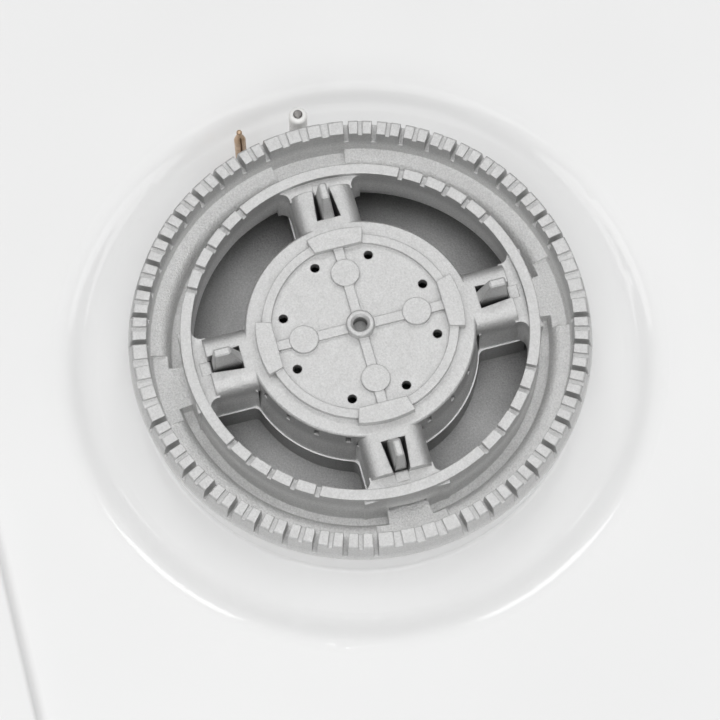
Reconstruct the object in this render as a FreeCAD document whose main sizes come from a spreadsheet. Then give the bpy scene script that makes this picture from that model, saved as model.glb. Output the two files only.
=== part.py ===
"""A built-in gas hob with one triple-ring burner, in millimetres, +Z up, standing on its base box.

The user stands on the -Y side. The burner's caps and the pan support are lifted off.
"""
import FreeCAD
import Part
import Sketcher
import math
import os
import re

V = FreeCAD.Vector

# Driving sizes: lengths in millimetres and angles in degrees
SIZES = {
    # Enamelled plate
    "plate_width": 330.0,
    "plate_depth": 371.0,
    "plate_corner": 14.0,
    "sheet": 1.2,
    "edge_round": 3.0,
    "rim_height": 8.0,
    "zone_drop": 3.0,
    "zone_side": 150.0,
    "zone_back": 150.0,
    "zone_front": 113.7,
    "zone_corner": 22.0,
    "riser_run": 4.2,
    "riser_round": 1.45,
    "burner_to_back": 165.0,
    "dish_drop": 3.8,
    "dish_floor_radius": 76.9,
    "dish_rim_radius": 89.4,
    "dish_join": 2.5,
    "collar_radius": 64.5,
    "collar_gap": 0.3,
    "collar_foot": 1.2,
    # Burner head, drops and rises measured from the top of its teeth
    "head_rise": 23.3,
    "teeth_outer": 65.0,
    "teeth_inner": 60.66,
    "teeth_edge": 0.5,
    "skirt_radius": 66.3,
    "skirt_drop": 7.0,
    "skirt_inner": 62.6,
    "skirt_wall": 1.6,
    "seat_drop": 16.5,
    "ledge_outer": 60.2,
    "ledge_drop": 9.4,
    "ledge_inner": 54.6,
    "ledge_slope": 1.3,
    "ledge_fall": 0.3,
    "ledge_round": 3.4,
    "channel_inner": 51.5,
    "channel_drop": 15.7,
    "head_wall": 2.5,
    "ring_outer": 51.1,
    "ring_inner": 48.0,
    "ring_lip_drop": 12.0,
    "ring_recess": 2.0,
    "slot_width": 1.5,
    "slot_depth": 5.2,
    "slot_first": 11.25,
    "slot_pitch": 7.5,
    "notch_width": 1.35,
    "notch_depth": 1.0,
    "cut_over": 1.0,
    "wedge_inner_width": 2.0,
    "wedge_outer_width": 2.8,
    "wedge_pitch": 5.6,
    "ring_notch_width": 1.5,
    "ring_notch_depth": 1.7,
    "ring_notch_pitch": 8.1,
    "pad_drop": 10.9,
    "pad_slope": 0.6,
    "pad_rim": 0.1,
    "pad_half_angle": 10.5,
    "pad_neck_angle": 6.6,
    "arm_width": 18.5,
    "arm_drop": -1.0,
    "arm_round": 4.6,
    "arm_root_fillet": 1.2,
    "arm_hub_fillet": 2.6,
    "arm_ring_fillet": 2.5,
    "step_inner": 44.2,
    "step_drop": 1.6,
    "pocket_start": 35.7,
    "pocket_end": 46.0,
    "pocket_hub_width": 4.6,
    "pocket_ring_width": 2.4,
    "pocket_depth": 6.1,
    "pocket_taper": 10.0,
    "lug_width": 2.3,
    "lug_length": 4.4,
    "lug_flat": 1.4,
    "lug_drop": 1.7,
    "duct_width": 14.0,
    "duct_drop": 8.3,
    "duct_start": 24.5,
    "mouth_width": 11.0,
    "mouth_overlap": 2.5,
    "hub_radius": 32.8,
    "hub_foot_radius": 34.0,
    "hub_rise": 1.0,
    "hub_edge": 0.5,
    "hub_floor_rise": 1.5,
    "hub_rim_inner": 25.2,
    "hub_rim_outer": 27.9,
    "hub_rim_rise": 2.6,
    "block_outer": 29.7,
    "block_half_angle": 16.0,
    "block_rise": 3.6,
    "chamber_radius": 30.5,
    "chamber_drop": 1.2,
    "boss_circle": 16.5,
    "boss_diameter": 8.2,
    "boss_rise": 2.7,
    "rib_width": 2.9,
    "rib_rise": 2.4,
    "pin_boss_diameter": 8.1,
    "pin_boss_rise": 4.2,
    "pin_boss_edge": 0.4,
    "pin_hole_diameter": 4.0,
    "pin_hole_floor": 0.2,
    "pin_countersink": 0.8,
    "hole_circle": 21.93,
    "hole_diameter": 2.65,
    "hole_half_angle": 21.03,
    "port_width": 1.5,
    "port_height": 3.2,
    "port_drop": 0.4,
    "port_outer_angle": 24.0,
    # Burner cup
    "cup_floor_drop": 26.0,
    "cup_flange_radius": 76.0,
    "cup_flange": 3.0,
    "cup_wall_radius": 62.3,
    "cup_wall": 2.5,
    "cup_margin": 0.35,
    "pit_radius": 17.0,
    "pit_depth": 20.0,
    "pit_wall": 2.5,
    "inlet_boss_radius": 8.0,
    "inlet_boss_reach": 32.0,
    "inlet_boss_overlap": 2.0,
    "injector_boss_radius": 12.0,
    "inlet_bore_radius": 3.5,
    "air_window_width": 14.0,
    "air_window_height": 10.0,
    "gasket": 1.0,
    "gasket_inner": 66.5,
    "stud_circle": 70.0,
    "stud_radius": 2.0,
    "stud_length": 11.0,
    "stud_play": 0.3,
    "nut_flats": 7.0,
    "nut_height": 3.2,
    "thread_play": 0.03,
    "injector_flats": 8.0,
    "injector_head": 6.0,
    "injector_thread_radius": 3.0,
    "injector_thread": 6.0,
    "injector_jet": 0.65,
    # Ignition and flame sensing at the burner
    "electrode_circle": 70.1,
    "electrode_radius": 2.7,
    "electrode_drop": 2.0,
    "electrode_tail": 15.0,
    "electrode_collar_radius": 4.5,
    "electrode_collar": 3.0,
    "electrode_play": 0.4,
    "electrode_edge": 1.2,
    "pin_radius": 1.3,
    "pin_stand": 0.7,
    "pin_tail": 4.0,
    "pin_edge": 0.3,
    "spade_width": 4.8,
    "spade_length": 8.0,
    "spade_sheet": 0.8,
    "clip_width": 10.0,
    "clip_sheet": 0.8,
    "clip_foot": 9.0,
    "clip_step": 6.0,
    "clip_screw_radius": 1.5,
    "clip_head_radius": 2.8,
    "clip_head": 2.0,
    "probe_circle": 70.7,
    "probe_angle": 14.8,
    "probe_radius": 1.7,
    "probe_ball_radius": 0.85,
    "probe_neck_radius": 0.5,
    "probe_taper": 4.0,
    "probe_slit": 0.5,
    "probe_slit_length": 11.0,
    "probe_slit_drop": 1.3,
    "probe_nut_flats": 8.0,
    "probe_nut": 5.0,
    "probe_tail": 4.5,
    # Tap, spindle and knob
    "knob_to_front": 47.5,
    "push_travel": 3.5,
    "knob_lift": 0.8,
    "knob_radius": 21.0,
    "knob_skirt": 4.5,
    "knob_height": 18.0,
    "knob_bar_width": 12.0,
    "knob_bar_length": 37.0,
    "knob_round": 1.6,
    "knob_hollow_radius": 17.5,
    "knob_hollow": 3.0,
    "knob_socket": 12.0,
    "spindle_radius": 4.0,
    "spindle_flat": 1.0,
    "running_gap": 0.05,
    "spindle_collar_radius": 6.0,
    "spindle_collar": 1.5,
    "collar_to_plate": 2.5,
    "washer_radius": 9.0,
    "washer": 1.5,
    "washer_tab_width": 6.0,
    "washer_tab_reach": 21.5,
    "spring_length": 9.5,
    "spring_radius": 6.2,
    "spring_wire": 0.9,
    "spring_turns": 4.0,
    "seal_hole_radius": 7.0,
    "seal_flange_radius": 10.0,
    "seal_lip_radius": 8.6,
    "seal_flange": 1.5,
    "seal_lip": 1.0,
    "seal_bore_gap": 0.3,
    "tap_width": 32.0,
    "tap_depth": 24.0,
    "tap_height": 24.0,
    "tap_cover": 2.0,
    "tap_port_spacing": 18.0,
    "tap_port_height": 10.0,
    "tap_port_radius": 7.0,
    "tap_port_reach": 12.0,
    "tap_port_bore": 3.5,
    "tap_seat_wall": 2.2,
    "tap_seat_radius": 4.5,
    "plug_top_radius": 10.0,
    "plug_foot_radius": 8.0,
    "plug_headroom": 2.8,
    "plug_slot_depth": 9.0,
    "plug_port_radius": 2.5,
    "blade_thickness": 2.0,
    "blade_width": 7.0,
    "blade_length": 8.5,
    "blade_gap": 0.5,
    "stem_radius": 2.0,
    "stem_gap": 0.3,
    "valve_radius": 5.6,
    "valve_disc": 1.6,
    "magnet_flats": 17.0,
    "magnet_hex": 5.8,
    "magnet_barrel": 8.0,
    "magnet_barrel_radius": 7.0,
    "magnet_cavity_radius": 6.4,
    "magnet_cavity_depth": 9.8,
    "magnet_core_radius": 3.0,
    "magnet_core": 2.5,
    "lead_nut_flats": 9.0,
    "lead_nut": 7.0,
    "bridge_sheet": 1.5,
    "bridge_half_span": 30.0,
    "bridge_foot": 10.0,
    "bridge_width": 28.0,
    "bridge_hole_radius": 9.5,
    "bridge_lip_drop": 10.0,
    "tap_screw_spacing": 26.0,
    "tap_screw_radius": 1.65,
    "tap_screw_length": 12.0,
    "tap_screw_head_radius": 3.3,
    "tap_screw_head": 2.2,
    "screw_play": 0.3,
    "switch_width": 20.0,
    "switch_thickness": 10.0,
    "switch_height": 15.0,
    "switch_rise": 3.7,
    "plunger_radius": 2.0,
    "plunger_length": 9.0,
    "plunger_gap": 0.15,
    "plunger_bore": 10.5,
    # Gas pipes
    "gas_pipe_radius": 4.0,
    "supply_pipe_radius": 5.0,
    "pipe_wall": 1.0,
    "pipe_bend": 22.0,
    "pipe_run": 35.0,
    "supply_turn": 57.0,
    "gas_nut_flats": 13.0,
    "supply_nut_flats": 15.0,
    "pipe_nut_length": 11.0,
    "gas_entry_x": 95.0,
    "gas_entry_height": 26.0,
    "gas_thread_radius": 10.48,
    "gas_thread_length": 24.0,
    "gas_shank_radius": 10.3,
    "gas_relief": 0.5,
    "gas_flange_flats": 26.0,
    "gas_flange": 7.0,
    "gas_stub_radius": 7.0,
    "gas_stub": 12.0,
    "gas_bore_radius": 4.0,
    "locknut_flats": 27.0,
    "locknut": 5.0,
    # Base box and its fixings
    "box_depth": 70.0,
    "box_width": 280.0,
    "box_length": 320.0,
    "box_back_margin": 35.5,
    "box_sheet": 0.8,
    "box_corner": 8.0,
    "box_reach": 2.0,
    "louvre_length": 46.0,
    "louvre_width": 6.0,
    "louvre_pitch": 16.0,
    "louvre_y": 40.0,
    "louvre_x": 45.0,
    "bracket_sheet": 1.5,
    "bracket_width": 20.0,
    "bracket_leg": 22.0,
    "bracket_foot": 14.0,
    "bracket_front_y": -60.0,
    "bracket_back_y": 110.0,
    "box_screw_drop": 15.0,
    "box_screw_radius": 1.95,
    "box_screw_head_radius": 3.6,
    "box_screw_head": 2.2,
    "box_screw_length": 7.0,
    "worktop": 30.0,
    "clamp_width": 20.0,
    "clamp_sheet": 1.5,
    "clamp_reach": 17.0,
    "clamp_leg": 20.0,
    "clamp_front_y": -115.0,
    "clamp_back_y": 60.0,
    "clamp_screw_drop": 12.0,
    "seal_inset": 2.0,
    "seal_width": 9.0,
    # Spark generator and its battery
    "generator_x": -100.0,
    "generator_y": -85.0,
    "generator_width": 40.0,
    "generator_length": 58.0,
    "generator_height": 24.0,
    "generator_round": 2.0,
    "terminal_radius": 3.0,
    "terminal_length": 8.0,
    "terminal_height": 12.0,
    "battery_x": 105.0,
    "battery_y": -125.0,
    "cell_radius": 7.2,
    "cell_length": 50.5,
    "cell_play": 0.5,
    "cell_gap": 0.2,
    "cell_nub": 1.2,
    "cell_nub_radius": 2.7,
    "tube_wall": 2.0,
    "tube_foot_radius": 14.0,
    "tube_foot": 2.5,
    "cap_length": 9.0,
    "cap_recess": 0.2,
    "cap_slot_width": 2.0,
    "cap_slot_depth": 1.5,
    "cap_slot_length": 11.0,
    # Leads
    "capillary_radius": 1.0,
    "ignition_lead_radius": 1.6,
    "lead_floor": 6.0,
    "capillary_dip": 22.0,
    "capillary_run": 30.0,
    "capillary_swing": 8.0,
    "capillary_rise": 4.0,
    "capillary_cross": 26.0,
    "capillary_end": 15.0,
    "spark_lead_dip": 18.0,
    "spark_lead_run": 15.0,
    "spark_lead_end": 24.0,
}

# Places worked out from the sizes
PLACES = {
    "border_top": "box_depth + rim_height",
    "border_under": "border_top - sheet",
    "zone_top": "border_top - zone_drop",
    "zone_under": "zone_top - sheet",
    "dish_floor": "zone_top - dish_drop",
    "burner_y": "plate_depth / 2 - burner_to_back",
    "zone_front_y": "burner_y - zone_front",
    "zone_back_y": "burner_y + zone_back",
    "half_run": "riser_run / 2",
    "zone_middle_y": "(zone_front_y + zone_back_y) / 2",
    "head_top": "dish_floor + head_rise",
    "arm_half": "arm_width / 2",
    "cup_arm_end": "sqrt((ring_inner - cup_margin / 2) ^ 2 - (arm_half + cup_margin) ^ 2)",
    "collar_top": "head_top - skirt_drop - collar_gap",
    "ring_foot_drop": "channel_drop + head_wall",
    "flange_top_drop": "head_rise + sheet + gasket",
    "flange_foot_drop": "flange_top_drop + cup_flange",
    "pit_floor_drop": "cup_floor_drop + pit_depth",
    "inlet_drop": "pit_floor_drop + pit_wall + inlet_boss_radius - inlet_boss_overlap",
    "inlet_z": "head_top - inlet_drop",
    "cup_foot_drop": "inlet_drop + inlet_boss_radius",
    "cup_stub_y": "burner_y - inlet_boss_reach",
    "electrode_x": "-electrode_circle",
    "clip_screw_y": "clip_step + clip_foot / 2",
    "probe_x": "-probe_circle * cos(probe_angle)",
    "probe_y": "burner_y - probe_circle * sin(probe_angle)",
    "electrode_foot_drop": "flange_foot_drop + electrode_tail",
    "pin_foot_drop": "electrode_foot_drop + pin_tail + spade_length",
    "probe_foot_drop": "flange_foot_drop + probe_nut + probe_tail",
    "knob_y": "knob_to_front - plate_depth / 2",
    "collar_up": "border_under - collar_to_plate",
    "washer_up": "collar_up - spindle_collar",
    "washer_down": "washer_up - washer",
    "cover_up": "washer_down - spring_length",
    "tap_up": "cover_up - tap_cover",
    "tap_down": "tap_up - tap_height",
    "plug_up": "tap_up - plug_headroom",
    "plug_down": "tap_down + tap_seat_wall",
    "shaft_down": "plug_up + push_travel + blade_gap",
    "blade_down": "shaft_down - blade_length",
    "stem_up": "blade_down - stem_gap",
    "valve_up": "tap_down - stem_gap",
    "knob_down": "border_top + push_travel + knob_lift",
    "spindle_up": "knob_down + knob_socket",
    "magnet_down": "tap_down - magnet_hex - magnet_barrel",
    "lead_nut_down": "magnet_down - lead_nut",
    "port_z": "tap_down + tap_port_height",
    "port_y": "knob_y + tap_depth / 2 + tap_port_reach",
    "bridge_up": "cover_up + bridge_sheet",
    "lip_y": "knob_y - bridge_width / 2",
    "switch_y": "lip_y - switch_thickness / 2",
    "switch_up": "bridge_up + switch_rise",
    "plunger_up": "washer_down - plunger_gap",
    "box_back": "plate_depth / 2 - box_back_margin",
    "box_front": "box_back - box_length",
    "wall_x": "box_width / 2 - box_sheet",
    "box_up": "box_depth + box_reach",
    "box_screw_z": "zone_under - box_screw_drop",
    "clamp_z": "box_depth - worktop",
    "stub_y": "box_back - box_sheet - gas_flange - gas_stub",
    "bore_radius": "cell_radius + cell_play",
    "cell_down": "cap_recess + cap_length + cell_gap",
    "tube_up": "cell_down + cell_length + tube_wall",
}

doc = FreeCAD.newDocument("gas_hob")
sheet = doc.addObject("Spreadsheet::Sheet", "sizes")
for row, (name, size) in enumerate(SIZES.items(), start=1):
    sheet.set("A%d" % row, name)
    sheet.set("B%d" % row, str(size))
    sheet.setAlias("B%d" % row, name)
doc.recompute()

NODES = []


# Formulas


def formula(text):
    """Write a formula in the names above as one that the sheet's cells drive."""
    def swap(match):
        word = match.group(0)
        if word in PLACES:
            return "(" + formula(PLACES[word]) + ")"
        if word in SIZES:
            return "sizes." + word
        return word
    return re.sub(r"[a-z][a-z0-9_]*", swap, str(text))


def value(text):
    """The number that a formula gives."""
    return float(sheet.evalExpression(formula(text)))


def bind(thing, **sizes):
    """Tie properties of a thing to formulas."""
    for prop, text in sizes.items():
        thing.setExpression(prop, formula(text))


def place(thing, x, y, z):
    """Tie the place of a thing to formulas."""
    for axis, text in zip("xyz", (x, y, z)):
        thing.setExpression("Placement.Base." + axis, formula(text))


def node(thing, label):
    """Hand in a finished sub-part under its own name."""
    thing.Label = label
    NODES.append(thing)
    return thing


# Blocks, rods, hexagons and what joins them

TURNS = {
    "+z": FreeCAD.Rotation(),
    "-z": FreeCAD.Rotation(V(1, 0, 0), 180),
    "+y": FreeCAD.Rotation(V(1, 0, 0), -90),
    "-y": FreeCAD.Rotation(V(1, 0, 0), 90),
    "+x": FreeCAD.Rotation(V(0, 1, 0), 90),
    "-x": FreeCAD.Rotation(V(0, 1, 0), -90),
}


def primitive(kind, name, at, along="+z", **sizes):
    """A plain solid that starts at a place and stands along an axis."""
    thing = doc.addObject("Part::" + kind, name)
    thing.Placement = FreeCAD.Placement(V(), TURNS[along])
    bind(thing, **sizes)
    place(thing, *at)
    return thing


def rod(name, radius, length, at, along="+z"):
    return primitive("Cylinder", name, at, along, Radius=radius, Height=length)


def block(name, size, at):
    """A block whose lowest corner lies at a place."""
    return primitive("Box", name, at, "+z", Length=size[0], Width=size[1], Height=size[2])


def centred_block(name, size, at):
    """A block that stands on the middle of its bottom face."""
    corner = ("%s - (%s) / 2" % (at[0], size[0]), "%s - (%s) / 2" % (at[1], size[1]), at[2])
    return block(name, size, corner)


def hexagon(name, flats, length, at, along="+z"):
    thing = primitive("Prism", name, at, along, Height=length)
    thing.Polygon = 6
    bind(thing, Circumradius="(%s) / 2 / cos(30)" % flats)
    return thing


def fuse(name, *pieces):
    thing = doc.addObject("Part::MultiFuse", name)
    thing.Shapes = list(pieces)
    thing.Refine = True
    return thing


def cut(name, base, *tools):
    for index, tool in enumerate(tools):
        thing = doc.addObject("Part::Cut", name if index == len(tools) - 1 else name + "_cut")
        thing.Base = base
        thing.Tool = tool
        base = thing
    return base


def group(name, pieces):
    """Like pieces that share one name."""
    thing = doc.addObject("Part::Compound", name)
    thing.Links = list(pieces)
    return thing


OPPOSITE = {"+x": "-x", "-x": "+x", "+y": "-y", "-y": "+y", "+z": "-z", "-z": "+z"}


def screw(name, radius, length, head_radius, head, seat, along):
    """A round-headed screw whose head bears at its seat and whose shank runs along an axis."""
    return fuse(name, rod(name + "_shank", radius, length, seat, along),
                rod(name + "_head", head_radius, head, seat, OPPOSITE[along]))


def nut(name, flats, length, bore, at, along="+z"):
    return cut(name, hexagon(name + "_blank", flats, length, at, along),
               rod(name + "_bore", bore + " + thread_play", length, at, along))


# Bodies drawn in sketches


def body(name, x="0", y="0", z="0"):
    piece = doc.addObject("PartDesign::Body", name)
    place(piece, x, y, z)
    return piece


def origin_feature(piece, role):
    return [feature for feature in piece.Origin.OriginFeatures if feature.Role == role][0]


def sketch(piece, name, role, offset="0"):
    drawing = piece.newObject("Sketcher::SketchObject", name)
    drawing.AttachmentSupport = [(origin_feature(piece, role), "")]
    drawing.MapMode = "FlatFace"
    drawing.setExpression("AttachmentOffset.Base.z", formula(offset))
    return drawing


def tie(drawing, constraint, text):
    """Add a dimension whose size is a formula."""
    index = drawing.addConstraint(constraint)
    drawing.setExpression("Constraints[%d]" % index, formula(text))


def bent_edge(start, end, radius):
    """An arc from start to end, turning left for a positive radius, and which of its ends comes first."""
    chord = end - start
    left = V(-chord.y, chord.x, 0).normalize()
    rise = math.sqrt(max(radius * radius - chord.Length ** 2 / 4, 0.0))
    centre = (start + end) * 0.5 + left * math.copysign(rise, radius)
    circle = Part.Circle(centre, V(0, 0, 1), abs(radius))
    first, last = (start, end) if radius > 0 else (end, start)
    angles = [math.atan2(spot.y - centre.y, spot.x - centre.x) for spot in (first, last)]
    return Part.ArcOfCircle(circle, angles[0], angles[1]), (1, 2) if radius > 0 else (2, 1)


def outline(drawing, corners):
    """Close a loop through corners, each a pair of formulas.

    A third entry is the radius of the arc that arrives at the corner, positive where it turns left.
    """
    spots = [V(value(corner[0]), value(corner[1]), 0) for corner in corners]
    total = len(corners)
    base = drawing.GeometryCount
    ends = []
    arcs = []
    for index in range(total):
        start = spots[index]
        target = (index + 1) % total
        if len(corners[target]) == 3:
            edge, order = bent_edge(start, spots[target], value(corners[target][2]))
            arcs.append((base + index, corners[target][2]))
        else:
            edge, order = Part.LineSegment(start, spots[target]), (1, 2)
        drawing.addGeometry(edge, False)
        ends.append(order)
    joints = []
    for index in range(total):
        target = (index + 1) % total
        joints.append(Sketcher.Constraint("Coincident", base + index, ends[index][1],
                                          base + target, ends[target][0]))
    drawing.addConstraint(joints)
    for index, corner in enumerate(corners):
        spot = (base + index, ends[index][0])
        tie(drawing, Sketcher.Constraint("DistanceX", -1, 1, *spot, spots[index].x), corner[0])
        tie(drawing, Sketcher.Constraint("DistanceY", -1, 1, *spot, spots[index].y), corner[1])
    for edge, radius in arcs:
        size = abs(value(radius))
        tie(drawing, Sketcher.Constraint("Radius", edge, size), "abs(%s)" % radius)


def ring(drawing, x, y, radius):
    """A circle."""
    edge = drawing.addGeometry(Part.Circle(V(value(x), value(y), 0), V(0, 0, 1), value(radius)), False)
    tie(drawing, Sketcher.Constraint("DistanceX", -1, 1, edge, 3, value(x)), x)
    tie(drawing, Sketcher.Constraint("DistanceY", -1, 1, edge, 3, value(y)), y)
    tie(drawing, Sketcher.Constraint("Radius", edge, value(radius)), radius)


def rectangle(drawing, left, right, low, high):
    outline(drawing, [(left, low), (right, low), (right, high), (left, high)])


def turned(corners, angle):
    """Corners turned about the origin."""
    return [("(%s) * cos(%s) - (%s) * sin(%s)" % (x, angle, y, angle),
             "(%s) * sin(%s) + (%s) * cos(%s)" % (x, angle, y, angle)) for x, y in corners]


def rounded(left, right, low, high, corner):
    """The corners of a rectangle with round corners, starting half way up its right side."""
    return [(right, "((%s) + (%s)) / 2" % (low, high)),
            (right, "%s - (%s)" % (high, corner)),
            ("%s - (%s)" % (right, corner), high, corner),
            ("%s + (%s)" % (left, corner), high),
            (left, "%s - (%s)" % (high, corner), corner),
            (left, "%s + (%s)" % (low, corner)),
            ("%s + (%s)" % (left, corner), low, corner),
            ("%s - (%s)" % (right, corner), low),
            (right, "%s + (%s)" % (low, corner), corner)]


def sector(inner, outer, half_angle):
    """The corners of a piece of a flat ring about the X axis."""
    reach = "cos(%s)" % half_angle
    rise = "sin(%s)" % half_angle
    return [("(%s) * %s" % (inner, reach), "-(%s) * %s" % (inner, rise)),
            ("(%s) * %s" % (outer, reach), "-(%s) * %s" % (outer, rise)),
            ("(%s) * %s" % (outer, reach), "(%s) * %s" % (outer, rise), outer),
            ("(%s) * %s" % (inner, reach), "(%s) * %s" % (inner, rise))]


def feature(piece, kind, drawing, **sizes):
    thing = piece.newObject("PartDesign::" + kind, drawing.Name + "_" + kind.lower())
    thing.Profile = drawing
    thing.Refine = False
    bind(thing, **sizes)
    return thing


def pad(piece, drawing, length, reverse=False, middle=False):
    thing = feature(piece, "Pad", drawing, Length=length)
    thing.Reversed = reverse
    thing.SideType = "Symmetric" if middle else "One side"
    doc.recompute()
    return thing


def pocket(piece, drawing, length, reverse=False, taper="0"):
    """Cut a drawing into a body, wider with depth by a taper, and make sure that it cuts."""
    before = piece.Shape.Volume
    thing = feature(piece, "Pocket", drawing, Length=length, TaperAngle=taper)
    thing.Reversed = reverse
    doc.recompute()
    if piece.Shape.Volume > before - 1e-6:
        raise RuntimeError(drawing.Name + " cuts nothing")
    return thing


def revolve(piece, drawing, kind="Revolution"):
    """Turn a drawing about its own vertical axis."""
    thing = feature(piece, kind, drawing)
    thing.ReferenceAxis = (drawing, ["V_Axis"])
    thing.Angle = 360
    doc.recompute()
    return thing


def pipe(piece, drawing, path):
    """Carry a drawing along a closed path."""
    thing = feature(piece, "AdditivePipe", drawing)
    thing.Spine = (path, ["Edge%d" % (index + 1) for index in range(path.GeometryCount)])
    doc.recompute()
    return thing


def polar(piece, original, *rounds):
    """Repeat a feature about the body's upright axis; each round is a count and the angle it spans."""
    patterns = []
    many = len(rounds) > 1
    if many:
        whole = piece.newObject("PartDesign::MultiTransform", original.Name + "_turns")
        whole.Originals = [original]
        whole.Refine = False
        doc.recompute()
    for count, angle in rounds:
        pattern = piece.newObject("PartDesign::PolarPattern", original.Name + "_turn")
        if not many:
            pattern.Originals = [original]
        pattern.Refine = False
        pattern.Axis = (origin_feature(piece, "Z_Axis"), [""])
        bind(pattern, Angle=angle)
        pattern.Occurrences = count
        patterns.append(pattern)
    if many:
        whole.Transformations = patterns
    piece.Tip = whole if many else patterns[0]
    doc.recompute()


QUARTERS = (4, "360")


# Tubes and leads that follow a route


# Share of the shorter run at a corner that its bend may take up
BEND_SHARE = 0.45


def route(points, bend=None):
    """Straight runs joined by tangent arcs; with no bend given each arc is as large as its runs allow."""
    edges = []
    start = points[0]
    for before, corner, after in zip(points, points[1:], points[2:]):
        toward = (before - corner).normalize()
        away = (after - corner).normalize()
        half = (math.pi - toward.getAngle(away)) / 2
        reach = BEND_SHARE * min((before - corner).Length, (after - corner).Length)
        if bend:
            reach = min(reach, bend * math.tan(half))
        radius = reach / math.tan(half)
        inside = (toward + away).normalize()
        middle = corner + inside * (radius / math.cos(half) - radius)
        edges.append(Part.LineSegment(start, corner + toward * reach))
        edges.append(Part.Arc(corner + toward * reach, middle, corner + away * reach))
        start = corner + away * reach
    edges.append(Part.LineSegment(start, points[-1]))
    return Part.Wire([edge.toShape() for edge in edges])


def tube(name, points, radius, wall=None, bend=None):
    """A tube or, with no wall given, a solid lead along a route of places given as formulas."""
    path = route([V(*[value(text) for text in point]) for point in points], bend)
    first = path.Edges[0]
    start = first.valueAt(first.FirstParameter)
    heading = first.tangentAt(first.FirstParameter)
    shapes = []
    for size in [value(radius)] + ([value(radius) - value(wall)] if wall else []):
        section = Part.Wire([Part.Circle(start, heading, size).toShape()])
        shapes.append(path.makePipeShell([section], True, False))
    shape = shapes[0].cut(shapes[1]) if wall else shapes[0]
    area = math.pi * (value(radius) ** 2 - ((value(radius) - value(wall)) ** 2 if wall else 0.0))
    bends = [edge.Curve.Radius for edge in path.Edges if hasattr(edge.Curve, "Radius")]
    print("%s: %.1f mm long, volume over section times length %.5f, tightest bend %.1f mm"
          % (name, path.Length, shape.Volume / (area * path.Length), min(bends)))
    thing = doc.addObject("Part::Feature", name)
    thing.Shape = shape
    return node(thing, name)


# Enamelled plate: cooking zone, riser, border strip, rolled rim and the dish round the burner


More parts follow.
